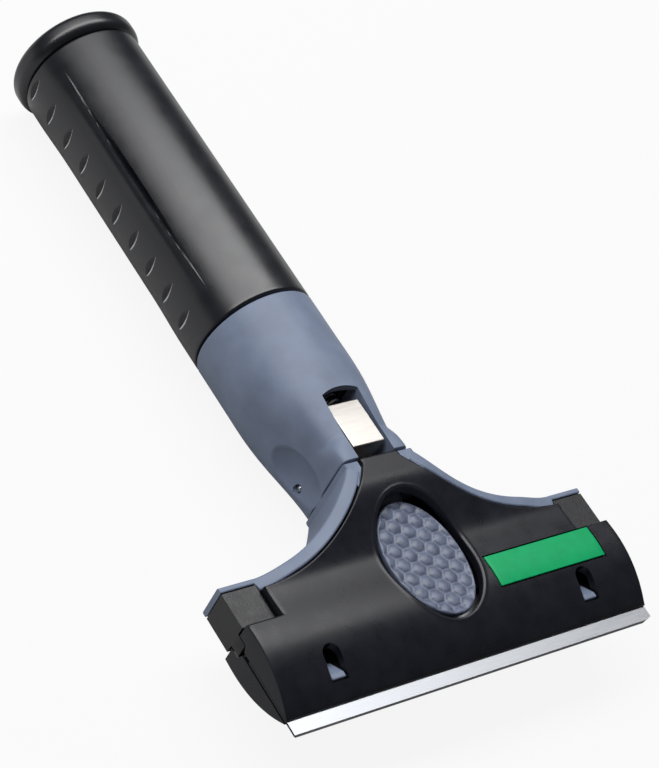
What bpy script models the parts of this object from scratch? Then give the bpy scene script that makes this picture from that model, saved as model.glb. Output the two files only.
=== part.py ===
"""Hand scraper: a steel blade clamped in a wide head, with a grip that takes an extension pole.

Lengths are in metres. The head is drawn from the middle of the blade's cutting edge, with x along
the blade, y towards the handle's end and z out of the front, and z is zero in the blade's plane.
The handle is drawn at the same stations along y, from its own axis. A station is a distance along
y from the cutting edge. The world's origin is on the handle's axis, on the flat floor of the pole
socket.
"""

import math

import bmesh
import bpy
from mathutils import Matrix, Vector

# Clearances: between pieces that touch, between pieces that move past each other, and how far a
# cutter runs past the face it cuts
fit_gap = 0.0003
running_gap = 0.0005
overrun = 0.002

# Blade
blade_length = 0.100
blade_width = 0.0185
blade_thickness = 0.0005
ground_width = 0.0013
ground_thickness = 0.0001
corner_cut_length = 0.0030
corner_cut_rise = 0.0009

# Shells: the front and back covers share one profile, a lens over the blade that swells to the
# neck. They reach just past the blade's ends, and a tab of the frame shows beside each shoulder.
shell_end_overhang = 0.00015
shell_length = blade_length + 2 * shell_end_overhang
shell_wall = 0.0020
lip_station = 0.0036
crest_station = 0.0198
crest_height = 0.00645
lip_height = 0.00079
shoulder_station = 0.0236
end_seam_station = 0.0210
valley_depth = 0.0005
swell_start = 0.0290
swell_end = 0.0465
swell_height = 0.0111
tab_length = 0.00905
shell_neck_width = shell_length - 2 * tab_length
apex_width = 0.0102
apex_skirt_station = 0.0434
apex_skirt_height = 0.0075
lens_steps = 8
valley_steps = 3
swell_steps = 8

# Rim band round the head's upper edge
rim_end_station = 0.05008
rim_arc_overhang = 0.0009
rim_width = 0.0033
rim_drop = 0.0003
rim_blend_share = 0.25
bridge_drop = 0.0006
rim_fall = 0.0020
tab_station = 0.0342
tab_rim_width = 0.0013
tab_rim_height = 0.0043
rim_steps = 12

# Pad and button, and the oval window round the pad
oval_station = 0.0271
pad_width = 0.0197
pad_length = 0.0290
pad_side_gap = 0.0014
pad_end_gap = 0.00075
oval_width = pad_width + 2 * pad_side_gap
oval_length = pad_length + 2 * pad_end_gap
pad_height = 0.0061
pad_rise = 0.0010
pad_crown = 0.0006
pad_thickness = 0.0023
button_travel = 0.0016
stem_radius = 0.0020
stem_length = 0.0046
wedge_width = 0.0070
wedge_length = 0.0028
wedge_inset = 0.0005
wedge_top_drop = 0.0006
pad_edge_share = 0.95
pad_dish_share = 0.5
oval_steps = 28
pad_steps = 24

# Latch: the steel plate moves this many times as far as the button that drives it
latch_ratio = 1.25
latch_width = 0.0086
latch_thickness = 0.0008
latch_top_height = 0.0106
latch_leg_height = 0.0050
latch_bend_station = 0.0545
latch_top_station = 0.0662
latch_tab_drop = 0.0064
latch_ramp_bend = 0.0016

# Springs: wire radius, coil radius and number of turns
wire_radius = 0.0003
button_coil_radius = 0.0030
button_coil_turns = 5
latch_coil_radius = 0.0023
latch_coil_turns = 7
coil_points = 9

# Hooks that the blade's two holes drop over, and the cover's slots round their tips, each counted
# from the shell's end to the slot's middle
slot_inset = 0.01495
slot_width = 0.0044
slot_station = 0.0073
slot_straight = 0.0052
slot_steps = 8
hook_width = 0.0036
hook_length = 0.0050
hook_height = 0.0034
hook_root = 0.0008
hook_crown_share = 0.25
hook_tip_height = 0.0010

# Clamp under the front cover
clamp_length_share = 0.459
clamp_foot_station = 0.0090
clamp_station = 0.0165
clamp_thickness = 0.0006
clamp_preload_gap = 0.0002
clamp_rise_share = 0.35
clamp_notch_station = 0.0114
clamp_notch_gap = 0.0010
clamp_root_length = 0.0018

# Badge: it fills the room between the oval window and the shell's end
badge_window_gap = 0.00165
badge_end_gap = 0.00665
badge_width = 0.0076
badge_station = 0.0193
badge_proud = 0.0004
badge_depth = 0.0003
badge_corner = 0.0004
badge_corner_angle = 60.0

# Frame inside the head
frame_half_thickness = 0.0019
tab_half_thickness = 0.0042
slit_width = 0.0005
frame_foot_station = 0.0075
frame_arm_wall = 0.0006
foot_steps = 4
tang_width = 0.0080
tang_back = 0.0046
tang_front = 0.0020
tang_end_station = 0.0840
tang_deep_back = 0.0090
tang_deep_station = 0.0522
well_radius = 0.0042
well_wall = 0.0012
well_floor = 0.0026
well_bottom = 0.0034

# Screws in the back: the low pair is counted from the neck's shoulders and the high pair from the
# shell's ends
screw_inset_low = 0.0046
screw_station_low = 0.0276
screw_inset_high = 0.03315
screw_station_high = 0.0330
screw_head_radius = 0.0024
screw_head_height = 0.0012
screw_shank_radius = 0.0012
screw_end_height = 0.0008
screw_socket_radius = 0.0011
screw_socket_depth = 0.0007
screw_seat_depth = 0.0008
screw_boss_radius = 0.0026
screw_chamfer = 0.00035
screw_sides = 12

# Neck
axis_drop = 0.0010
foot_station = 0.0516
seam_station = 0.0955
taper_station = 0.0840
neck_radius = 0.01485
foot_width = 0.0186
foot_depth = 0.0236
foot_squareness = 4.0
foot_front_squareness = 12.0
foot_front_station = 0.0585
neck_rings = 12
neck_sides = 40
window_width = 0.0099
window_end_station = 0.0681
window_arch = 0.0010
window_arch_steps = 6
pocket_width = 0.0099
pocket_front = 0.0108
neck_bore_station = 0.0700
scoop_side = 0.0148
scoop_station = 0.0570
scoop_drop = 0.0025
scoop_reach = 0.0068
scoop_half_length = 0.0110
scoop_half_depth = 0.0080
scoop_sides = 20
scoop_rings = 12

# Core and pole socket
core_radius = 0.0115
core_bore_gap = 0.0003
socket_floor_station = 0.1230
socket_floor_radius = 0.0090
socket_mouth_radius = 0.0105
core_end_station = 0.1832
core_hollow_radius = 0.0093
core_hollow_end_station = 0.1192
spring_stop_wall = 0.0020

# Cross pins
pin_low_radius = 0.0008
pin_low_station = 0.0581
pin_low_height = -0.0072
pin_low_inset = 0.0003
pin_high_radius = 0.0015
pin_high_station = 0.0760
pin_high_height = -0.0013
pin_chamfer = 0.0003

# Grip
grip_start_station = 0.0961
grip_end_station = 0.1775
grip_radius = 0.01485
crease_angle = 53.0
crease_half_angle = 3.5
crease_clear_share = 1.6
crease_depth = 0.0007
crease_start_station = 0.1040
crease_end_station = 0.1740
side_drop = 0.0003
grip_land = 0.0040
grip_hollow_radius = 0.0128
grip_steps = 12
grip_sides = 32
notch_count = 10
notch_station = 0.1037
notch_pitch = 0.00795
notch_length = 0.0070
notch_width = 0.0021
notch_depth = 0.0010
notch_point_share = 0.45
notch_angle = 92.0

# Collar
collar_start_station = 0.1778
collar_end_station = 0.1835
collar_radius = 0.0159
collar_round = 0.0016
collar_round_share = 0.3

# Facets of round pieces, and the angle past which a shaded edge stays sharp
round_sides = 40
small_sides = 20
shade_angle = 35.0


def clear_scene():
    for old in list(bpy.data.objects):
        bpy.data.objects.remove(old, do_unlink=True)


# Materials

def linear(hex_colour):
    """The linear colour of an sRGB hex value."""
    shares = [int(hex_colour[i:i + 2], 16) / 255 for i in (1, 3, 5)]
    return [s / 12.92 if s <= 0.04045 else ((s + 0.055) / 1.055) ** 2.4 for s in shares]


def make_material(name, hex_colour, roughness, metallic=0.0):
    material = bpy.data.materials.new(name)
    material.use_nodes = True
    shader = material.node_tree.nodes["Principled BSDF"]
    shader.inputs["Base Color"].default_value = (*linear(hex_colour), 1.0)
    shader.inputs["Roughness"].default_value = roughness
    shader.inputs["Metallic"].default_value = metallic
    return material


def black_grip():
    return make_material("black_grip_rubber", "#17181B", 0.42)


def black_shell():
    return make_material("black_nylon", "#26272B", 0.45)


def black_frame():
    return make_material("black_glass_filled_nylon", "#1D1D20", 0.55)


def grey_soft():
    return make_material("grey_soft_rubber", "#737B8B", 0.50)


def green_plate():
    return make_material("green_plate", "#12A763", 0.40)


def bright_steel():
    return make_material("polished_steel", "#E6E4E0", 0.18, 1.0)


def blade_steel():
    return make_material("blade_steel", "#D9DBDE", 0.28, 1.0)


def spring_steel():
    return make_material("spring_steel", "#8C8E90", 0.35, 1.0)


def zinc_steel():
    return make_material("zinc_plated_steel", "#B8BABC", 0.32, 1.0)


# Datums: empties that carry the head, the handle and each moving piece

def make_datum(name, place, parent=None):
    datum = bpy.data.objects.new(name, None)
    bpy.context.scene.collection.objects.link(datum)
    datum.location = place
    datum.parent = parent
    return datum


# Solids

def add_object(name, mesh_builder, datum, material=None):
    """A new object with the builder's mesh, seated on a datum whose drawing frame it shares."""
    bmesh.ops.recalc_face_normals(mesh_builder, faces=mesh_builder.faces)
    mesh = bpy.data.meshes.new(name)
    mesh_builder.to_mesh(mesh)
    mesh_builder.free()
    solid = bpy.data.objects.new(name, mesh)
    bpy.context.scene.collection.objects.link(solid)
    solid.parent = datum
    if material:
        mesh.materials.append(material)
    return solid


def ring_solid(name, rings, datum, material=None, closed=False):
    """Rings of as many points each, joined in turn: closed like a tyre, or capped at both ends."""
    builder = bmesh.new()
    loops = [[builder.verts.new(point) for point in ring] for ring in rings]
    pairs = list(zip(loops, loops[1:] + loops[:1])) if closed else list(zip(loops, loops[1:]))
    for first, second in pairs:
        count = len(first)
        for i in range(count):
            j = (i + 1) % count
            builder.faces.new((first[i], first[j], second[j], second[i]))
    if not closed:
        builder.faces.new(loops[0])
        builder.faces.new(loops[-1])
    return add_object(name, builder, datum, material)


def prism(name, outline, low, high, axis, datum, material=None):
    """An outline carried along x or z from low to high."""
    rings = []
    for depth in (low, high):
        if axis == "x":
            rings.append([(depth, y, z) for y, z in outline])
        else:
            rings.append([(x, y, depth) for x, y in outline])
    return ring_solid(name, rings, datum, material)


def block(name, low, high, datum, material=None):
    outline = [(low[0], low[1]), (high[0], low[1]), (high[0], high[1]), (low[0], high[1])]
    return prism(name, outline, low[2], high[2], "z", datum, material)


def turned(name, profile, centre, axis, sides, datum, material=None):
    """A solid of revolution: the profile holds (distance along the axis, radius), end to end.

    A profile whose first and last radius are zero is solid, and any other one is a closed ring.
    """
    along = {"x": Vector((1, 0, 0)), "y": Vector((0, 1, 0)), "z": Vector((0, 0, 1))}[axis]
    across = Vector((0, 0, 1)) if axis != "z" else Vector((1, 0, 0))
    beside = along.cross(across)
    solid_core = profile[0][1] == 0 and profile[-1][1] == 0
    inner = profile[1:-1] if solid_core else profile
    turns = [2 * math.pi * i / sides for i in range(sides)]
    rings = [
        [Vector(centre) + along * d + (across * math.cos(a) + beside * math.sin(a)) * r for a in turns]
        for d, r in inner
    ]
    return ring_solid(name, rings, datum, material, closed=not solid_core)


def rod(name, start, end, radius, centre, axis, sides, datum, material=None):
    profile = [(start, 0), (start, radius), (end, radius), (end, 0)]
    return turned(name, profile, centre, axis, sides, datum, material)


def arc_points(centre, radius, start, end, steps):
    """Points on an arc, with angles in radians, both ends included."""
    turns = [start + (end - start) * i / steps for i in range(steps + 1)]
    return [(centre[0] + radius * math.cos(a), centre[1] + radius * math.sin(a)) for a in turns]


def combine(target, other, operation):
    """A live Boolean with an object that is itself left out of the model."""
    modifier = target.modifiers.new(other.name, "BOOLEAN")
    modifier.operation = operation
    modifier.solver = "EXACT"
    modifier.object = other
    other.hide_render = True
    other.display_type = "WIRE"


def cut(target, *cutters):
    for cutter in cutters:
        combine(target, cutter, "DIFFERENCE")


def keep_inside(target, other):
    combine(target, other, "INTERSECT")


def join(target, *others):
    for other in others:
        combine(target, other, "UNION")


def soften(solid, width, angle):
    bevel = solid.modifiers.new("edges", "BEVEL")
    bevel.width = width
    bevel.segments = 1
    bevel.limit_method = "ANGLE"
    bevel.angle_limit = math.radians(angle)


def shade_round(solid):
    solid.data.shade_smooth()
    solid.data.set_sharp_from_angle(angle=math.radians(shade_angle))


def move_origin(solid, point):
    """Puts a piece's origin on its joint, with its shape left where it is."""
    solid.data.transform(Matrix.Translation(-Vector(point)))
    solid.location = point


# The shells' shape

def smooth_step(share):
    share = min(max(share, 0.0), 1.0)
    return share * share * (3 - 2 * share)


def crest_radius():
    """Radius of the round part, which goes through the lip and is level at the crest."""
    reach = crest_station - lip_station
    rise = crest_height - lip_height
    return (reach ** 2 + rise ** 2) / (2 * rise)


def lens_height(station):
    """Height of the round part between the lip and the crest."""
    reach = crest_station - station
    return crest_height - crest_radius() + math.sqrt(crest_radius() ** 2 - reach ** 2)


def shell_height(station):
    """Height of a shell's outer face over the blade's plane."""
    if station <= crest_station:
        return lens_height(station)
    valley = valley_depth * smooth_step((station - crest_station) / (swell_start - crest_station))
    low = crest_height - valley
    swell = smooth_step((station - swell_start) / (swell_end - swell_start))
    return low + (swell_height - low) * swell


def lens_station(height):
    """Station where the round part has this height."""
    below = crest_radius() - crest_height + height
    return crest_station - math.sqrt(crest_radius() ** 2 - below ** 2)


def steps_between(start, end, count):
    return [start + (end - start) * i / count for i in range(count + 1)]


def rim_arc_side():
    return shell_neck_width / 2 + rim_arc_overhang


def rim_arc_radius():
    """Radius of the rim's outer edge, from its lowest point by the tab up to the neck's side."""
    reach = rim_arc_side() - foot_width / 2
    rise = rim_end_station - tab_station
    return (reach ** 2 + rise ** 2) / (2 * rise)


def rim_arc_centre():
    return rim_arc_side(), tab_station + rim_arc_radius()


def apex_station():
    return foot_station - fit_gap


def arc_turn(radius, half_width, top):
    """Angle of an arc about the rim's centre at a half width, or at a station if that comes first."""
    side, station = rim_arc_centre()
    across = math.asin(min((side - half_width) / radius, 1.0))
    along = math.acos((station - top + fit_gap) / radius)
    return -math.pi / 2 - min(across, along)


def rim_arc(radius, half_start, half_end, top):
    """Points of an arc about the rim's centre, between two half widths."""
    turns = arc_turn(radius, half_start, top), arc_turn(radius, half_end, top)
    return arc_points(rim_arc_centre(), radius, *turns, rim_steps)


def shell_outline(inset=0.0):
    """Front view of a shell, or of its hollow when it is drawn in by a wall."""
    half_length = shell_length / 2 - inset
    half_neck = shell_neck_width / 2 - inset
    shoulder = shoulder_station - inset
    top = apex_station() - inset
    radius = rim_arc_radius() + rim_width + inset
    right = [(half_length, lip_station - overrun), (half_length, shoulder), (half_neck, shoulder)]
    right += rim_arc(radius, half_neck, apex_width / 2 - inset, top)
    right += [(right[-1][0], top)]
    return right + [(-x, y) for x, y in reversed(right)]


def shell_profile(drop=0.0):
    """Side view of a shell, with its feet on the blade, on the frame and over the latch."""
    under = blade_thickness / 2 + fit_gap
    start = lens_station(under + drop) if drop else lip_station
    stations = steps_between(start, crest_station, lens_steps)
    stations += steps_between(crest_station, swell_start, valley_steps)[1:]
    stations += steps_between(swell_start, swell_end, swell_steps)[1:]
    stations += [apex_station() + overrun]
    top = [(y, shell_height(y) - drop) for y in stations]
    if drop:
        return top + [(apex_station() + overrun, -overrun), (start, -overrun)]
    skirt = frame_half_thickness + fit_gap
    feet = [
        (apex_station() + overrun, apex_skirt_height),
        (apex_skirt_station, apex_skirt_height),
        (apex_skirt_station, skirt),
        (end_seam_station, skirt),
        (end_seam_station, under),
        (lip_station, under),
    ]
    return top + feet


def facing(points, side):
    """Side-view points for the front, or mirrored for the back."""
    return [(y, z * side) for y, z in points]


def shell(name, side, datum, material):
    """A front or back shell: its profile across the head, trimmed to the outline and hollowed."""
    half = shell_length / 2
    solid = prism(name, facing(shell_profile(), side), -half, half, "x", datum, material)
    reach = swell_height + overrun
    keep_inside(solid, prism(name + "_outline", shell_outline(), -reach, reach, "z", datum))
    hollow = prism(name + "_hollow", facing(shell_profile(shell_wall), side), -half, half, "x", datum)
    keep_inside(hollow, prism(name + "_wall", shell_outline(shell_wall), -reach, reach, "z", datum))
    cut(solid, hollow)
    return solid


def oval(half_width, half_length, steps):
    turns = [2 * math.pi * i / steps for i in range(steps)]
    return [(half_width * math.cos(a), oval_station + half_length * math.sin(a)) for a in turns]


def slot_side():
    """Distance of a slot's middle from the head's middle."""
    return shell_length / 2 - slot_inset


def slot_outline(side):
    half = slot_width / 2
    centre = (side * slot_side(), slot_station + slot_straight)
    corners = [(centre[0] - half, slot_station), (centre[0] + half, slot_station)]
    return corners + arc_points(centre, half, 0, math.pi, slot_steps)


# Front cover and what rides on it

def hinge_point():
    """The lip's lower front edge, on which the cover tips open."""
    return 0, lip_station, blade_thickness / 2 + fit_gap


def front_cover(datum):
    solid = shell("front_cover", 1, datum, black_shell())
    top = swell_height + overrun
    window = oval(oval_width / 2, oval_length / 2, oval_steps)
    cut(solid, prism("oval_cutter", window, 0, top, "z", datum))
    for side, word in ((-1, "left"), (1, "right")):
        cut(solid, prism("slot_cutter_" + word, slot_outline(side), 0, top, "z", datum))
    cut(solid, block("badge_recess", *badge_corners(fit_gap, badge_depth + fit_gap), datum))
    shade_round(solid)
    move_origin(solid, hinge_point())
    return solid


def badge_corners(margin, depth):
    start = oval_width / 2 + badge_window_gap - margin
    end = shell_length / 2 - badge_end_gap + margin
    half_width = badge_width / 2 + margin
    low = (start, badge_station - half_width, badge_seat() - depth)
    high = (end, badge_station + half_width, crest_height + badge_proud)
    return low, high


def badge_seat():
    """The lowest height of the cover's face under the badge."""
    half = badge_width / 2
    return min(shell_height(badge_station - half), shell_height(badge_station + half))


def badge(datum):
    solid = block("badge", *badge_corners(0.0, badge_depth), datum, green_plate())
    soften(solid, badge_corner, badge_corner_angle)
    move_origin(solid, hinge_point())
    return solid


def blade_clamp(datum):
    """A bent strip: its foot rides just over the blade and its root lies against the cover."""
    foot = blade_thickness / 2 + fit_gap + clamp_preload_gap
    root = shell_height(clamp_station) - shell_wall - fit_gap
    middle = (clamp_foot_station + clamp_station) / 2
    line = [
        (clamp_foot_station, foot + clamp_thickness),
        (clamp_foot_station + clamp_thickness, foot),
        (middle, foot + (root - foot) * clamp_rise_share),
        (clamp_station, root - clamp_thickness),
        (clamp_station + clamp_root_length, root - clamp_thickness),
    ]
    outline = line + [(y, z + clamp_thickness) for y, z in reversed(line)]
    half = shell_length / 2 * clamp_length_share
    solid = prism("blade_clamp", outline, -half, half, "x", datum, spring_steel())
    side = pad_width / 2 + clamp_notch_gap
    high = (side, shoulder_station, crest_height)
    cut(solid, block("clamp_notch", (-side, clamp_notch_station, -overrun), high, datum))
    move_origin(solid, hinge_point())
    return solid


# Back cover and its screws

def screw_places():
    """Name, x and station of each screw."""
    low = shell_neck_width / 2 - screw_inset_low
    high = shell_length / 2 - screw_inset_high
    return [
        ("low_left", -low, screw_station_low),
        ("low_right", low, screw_station_low),
        ("high_left", -high, screw_station_high),
        ("high_right", high, screw_station_high),
    ]


def screw_seat(station):
    """Height of the flat under a screw's head, counted down from the blade's plane."""
    return shell_height(station - screw_head_radius) - screw_seat_depth


def back_cover(datum):
    solid = shell("back_cover", -1, datum, black_shell())
    for word, x, station in screw_places():
        seat = screw_seat(station)
        centre = (x, station, 0)
        boss = rod(
            "boss_" + word, -seat - screw_seat_depth, -frame_half_thickness - fit_gap,
            screw_boss_radius, centre, "z", small_sides, datum,
        )
        join(solid, boss)
        head_room = screw_head_radius + fit_gap
        shank_room = screw_shank_radius + fit_gap
        low = -swell_height - overrun
        cut(
            solid,
            rod("seat_" + word, low, -seat, head_room, centre, "z", small_sides, datum),
            rod("way_" + word, low, 0, shank_room, centre, "z", small_sides, datum),
        )
    shade_round(solid)
    return solid


def back_screw(word, x, station, datum):
    seat = -screw_seat(station) - fit_gap
    top = seat - screw_head_height
    profile = [
        (top + screw_socket_depth, 0),
        (top + screw_socket_depth, screw_socket_radius),
        (top, screw_socket_radius),
        (top, screw_head_radius - screw_chamfer),
        (top + screw_chamfer, screw_head_radius),
        (seat, screw_head_radius),
        (seat, screw_shank_radius),
        (-screw_end_height, screw_shank_radius),
        (-screw_end_height, 0),
    ]
    name = "back_screw_" + word
    return turned(name, profile, (x, station, 0), "z", screw_sides, datum, zinc_steel())


# Frame, rim and blade

def frame_outline(margin=0.0):
    """Front view of the frame's plate, inside the shells' end walls and the rim, or grown by a margin."""
    half_length = shell_length / 2 - shell_wall - running_gap
    seam = end_seam_station + fit_gap
    shoulder = shoulder_station + running_gap
    right = [(half_length, frame_foot_station), (half_length, seam), (shell_length / 2, seam)]
    right += [(shell_length / 2, shoulder), (shell_neck_width / 2, shoulder)]
    radius = rim_arc_radius() + rim_width - margin
    half_end = tang_width / 2 + frame_arm_wall + margin
    right += rim_arc(radius, shell_neck_width / 2, half_end, apex_station() + margin)
    return right + [(-x, y) for x, y in reversed(right)]


def foot_trim(datum):
    """What the frame's foot leaves free for the back cover's sloping wall."""
    room = shell_wall + fit_gap
    start = frame_foot_station - fit_gap
    end = lens_station(frame_half_thickness + room)
    line = [(y, room - lens_height(y)) for y in steps_between(start, end, foot_steps)]
    low = -frame_half_thickness - overrun
    outline = line + [(end, low), (start, low)]
    return prism("foot_trim", outline, -shell_length, shell_length, "x", datum)


def hook_opening(name, side, station_low, station_high, low, high, datum):
    """A straight-sided hole round a hook, between two stations and two heights."""
    centre = side * slot_side()
    half = hook_width / 2 + fit_gap
    return block(name, (centre - half, station_low, low), (centre + half, station_high, high), datum)


def hook_stations():
    start = slot_station + running_gap
    return start, start + hook_length


def pin_places():
    """Name, radius, station and height of each cross pin."""
    return [
        ("low", pin_low_radius, pin_low_station, pin_low_height),
        ("high", pin_high_radius, pin_high_station, pin_high_height),
    ]


def tab_block(side, datum):
    inner = side * (shell_neck_width / 2 + slit_width)
    outer = side * shell_length / 2
    low = (min(inner, outer), shoulder_station + running_gap, -tab_half_thickness)
    high = (max(inner, outer), tab_station - tab_rim_width - fit_gap, tab_half_thickness)
    return block("tab_left" if side < 0 else "tab_right", low, high, datum)


def tab_neck(side, datum):
    """The web that joins a tab to the frame's plate below the slit."""
    inner = side * (shell_neck_width / 2 - overrun)
    outer = side * (shell_neck_width / 2 + slit_width + overrun)
    low = (min(inner, outer), shoulder_station + running_gap, -frame_half_thickness)
    high = (max(inner, outer), tab_station - tab_rim_width - fit_gap - overrun, frame_half_thickness)
    return block("web_left" if side < 0 else "web_right", low, high, datum)


def tang(datum):
    """The thin tongue into the neck and core, and its deeper root for the low pin."""
    half = tang_width / 2
    start = apex_skirt_station - overrun
    tongue = block("tang", (-half, start, -tang_back), (half, tang_end_station, tang_front), datum)
    root_low = (-half, tang_deep_station, -tang_deep_back)
    root = block("tang_root", root_low, (half, tang_end_station, -overrun), datum)
    return tongue, root


def blade_bed(datum):
    """The room over the frame's foot that the blade lies in, up to its back edge."""
    bed = blade_thickness / 2 + fit_gap
    high = (blade_length, blade_width + fit_gap, tab_half_thickness)
    return block("bed_cutter", (-blade_length, -overrun, -bed), high, datum)


def head_frame(datum):
    half = frame_half_thickness
    solid = prism("head_frame", frame_outline(), -half, half, "z", datum, black_frame())
    join(solid, tab_block(-1, datum), tab_block(1, datum), tab_neck(-1, datum), tab_neck(1, datum))
    join(solid, *tang(datum))
    middle = (0, oval_station, 0)
    well_outside = well_radius + well_wall
    join(solid, rod("well", -well_bottom, 0, well_outside, middle, "z", small_sides, datum))
    top = half + overrun
    cut(solid, blade_bed(datum))
    cut(solid, rod("well_cutter", -well_floor, top, well_radius, middle, "z", small_sides, datum))
    cut(solid, foot_trim(datum))
    start, end = hook_stations()
    for side, word in ((-1, "left"), (1, "right")):
        low, high = start - fit_gap, end + fit_gap
        cut(solid, hook_opening("hook_seat_" + word, side, low, high, -tang_back, overrun, datum))
    for word, x, station in screw_places():
        hole = screw_shank_radius + fit_gap
        depth = -screw_end_height + fit_gap
        centre = (x, station, 0)
        cut(solid, rod("screw_hole_" + word, -swell_height, depth, hole, centre, "z", screw_sides, datum))
    for word, radius, station, height in pin_places():
        half = tang_width
        centre = (0, station, height)
        cut(solid, rod("tang_hole_" + word, -half, half, radius + fit_gap, centre, "x", small_sides, datum))
    return solid


def blade(datum):
    """A flat strip with a ground edge, one cut corner and two round holes."""
    half = blade_length / 2
    outline = [
        (-half, 0),
        (half - corner_cut_length, 0),
        (half, corner_cut_rise),
        (half, blade_width),
        (-half, blade_width),
    ]
    solid = prism("blade", outline, -blade_thickness / 2, blade_thickness / 2, "z", datum, blade_steel())
    for side, word in ((1, "front"), (-1, "back")):
        wedge = [
            (-overrun, ground_thickness / 2 * side),
            (0, ground_thickness / 2 * side),
            (ground_width, blade_thickness / 2 * side),
            (ground_width, blade_thickness * side),
            (-overrun, blade_thickness * side),
        ]
        cut(solid, prism("grind_" + word, wedge, -blade_length, blade_length, "x", datum))
    start, end = hook_stations()
    for side, word in ((-1, "left"), (1, "right")):
        low, high = start - fit_gap, end + fit_gap
        cut(solid, hook_opening("blade_hole_" + word, side, low, high, -overrun, overrun, datum))
    return solid


def blade_hook(side, word, datum):
    """A hook rooted in the frame's bed: it passes through the blade and slopes away in the slot."""
    x = side * slot_side()
    start, end = hook_stations()
    outline = [
        (start, -hook_root),
        (start, hook_height),
        (start + hook_length * hook_crown_share, hook_height),
        (end, hook_tip_height),
        (end, -hook_root),
    ]
    half = hook_width / 2
    return prism("blade_hook_" + word, outline, x - half, x + half, "x", datum, grey_soft())


def rim_sections():
    """Sections of the rim's right half from the tab to the neck, each with its four corners.

    The rim is highest along the cover's edge and falls off outwards.
    """
    side, station = rim_arc_centre()
    sections = []
    tab_inner = tab_station - tab_rim_width
    for x in (shell_length / 2, shell_neck_width / 2 + slit_width):
        sections.append(rim_section((x, tab_inner), (x, tab_station), tab_rim_height, tab_rim_height))
    outer_radius = rim_arc_radius()
    inner_radius = outer_radius + rim_width - fit_gap
    start = arc_turn(inner_radius, shell_neck_width / 2, apex_station())
    end = arc_turn(outer_radius, foot_width / 2, apex_station())
    for angle in steps_between(start, end, rim_steps):
        direction = (math.cos(angle), math.sin(angle))
        inner = (side + inner_radius * direction[0], station + inner_radius * direction[1])
        outer = (side + outer_radius * direction[0], station + outer_radius * direction[1])
        share = smooth_step((angle - start) / (end - start) / rim_blend_share)
        heights = [shell_height(min(inner[1] - fall, swell_end)) - rim_drop for fall in (0, rim_fall)]
        inner_height, outer_height = [tab_rim_height + (h - tab_rim_height) * share for h in heights]
        sections.append(rim_section(inner, outer, inner_height, outer_height))
    return sections


def rim_section(inner, outer, inner_height, outer_height):
    return [
        (*inner, inner_height),
        (*outer, outer_height),
        (*outer, -outer_height),
        (*inner, -inner_height),
    ]


def rim_half(name, side, datum, material=None):
    rings = [[(side * x, y, z) for x, y, z in section] for section in rim_sections()]
    return ring_solid(name, rings, datum, material)


def rim_bridge(datum):
    """The block behind the covers' apexes that joins the rim's two halves under the neck."""
    inner_end, outer_end = rim_sections()[-1][:2]
    half = outer_end[0]
    height = swell_height - bridge_drop
    low = (-half, apex_skirt_station + fit_gap, -height)
    return block("rim_bridge", low, (half, foot_station - fit_gap, height), datum)


def head_rim(datum):
    solid = rim_half("head_rim", 1, datum, grey_soft())
    join(solid, rim_half("rim_left", -1, datum), rim_bridge(datum))
    reach = swell_height + overrun
    margin = -fit_gap
    seat = apex_skirt_height - fit_gap
    for side, word in ((1, "front"), (-1, "back")):
        low, high = sorted((seat * side, reach * side))
        cut(solid, prism("apex_room_" + word, shell_outline(margin), low, high, "z", datum))
    half = pocket_width / 2
    low = (-half, 0, -tang_back - fit_gap)
    high = (half, foot_station + overrun, reach)
    cut(solid, block("rim_channel", low, high, datum))
    room = frame_half_thickness + fit_gap
    cut(solid, prism("frame_room", frame_outline(fit_gap), -room, room, "z", datum))
    shade_round(solid)
    return solid


# Button

def pad_top(station):
    """Height of the pad's face: it rises towards the neck and is low along its middle."""
    share = (station - oval_station) / (pad_length / 2)
    return pad_height - pad_crown + pad_rise * share / 2 + pad_crown * share * share


def pad_ring(scale_share, lift=None):
    points = []
    for x, y in oval(pad_width / 2 * scale_share, pad_length / 2 * scale_share, pad_steps):
        points.append((x, y, pad_top(y) if lift is None else lift))
    return points


def ramp_height(station):
    """Height of the wedge's underside, whose slope sets how far the latch moves."""
    return pad_base() + (station - ramp_station()) / latch_ratio


def pad_base():
    return pad_height - pad_thickness


def ramp_station():
    return oval_station + pad_length / 2 - wedge_inset


def wedge(datum):
    """The tooth at the pad's upper end that drives the latch back."""
    start = ramp_station()
    end = start + wedge_length
    outline = [
        (start - overrun, pad_base() + fit_gap),
        (start, ramp_height(start)),
        (end, ramp_height(end)),
        (end, ramp_height(end) + fit_gap),
        (start - overrun, pad_top(start) - wedge_top_drop),
    ]
    half = wedge_width / 2
    return prism("wedge", outline, -half, half, "x", datum)


def release_button(datum):
    base = pad_base()
    edge = pad_ring(1.0, base + fit_gap)
    shoulder = [(x, y, pad_top(y) - fit_gap) for x, y, z in edge]
    rings = [pad_ring(pad_edge_share, base), edge, shoulder]
    rings += [pad_ring(pad_edge_share), pad_ring(pad_dish_share)]
    solid = ring_solid("release_button", rings, datum, grey_soft())
    centre = (0, oval_station, 0)
    stem_top = base + pad_thickness / 2
    stem = rod("stem", base - stem_length, stem_top, stem_radius, centre, "z", small_sides, datum)
    join(solid, wedge(datum), stem)
    shade_round(solid)
    move_origin(solid, (0, oval_station, pad_base()))
    return solid


# Springs

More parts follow.
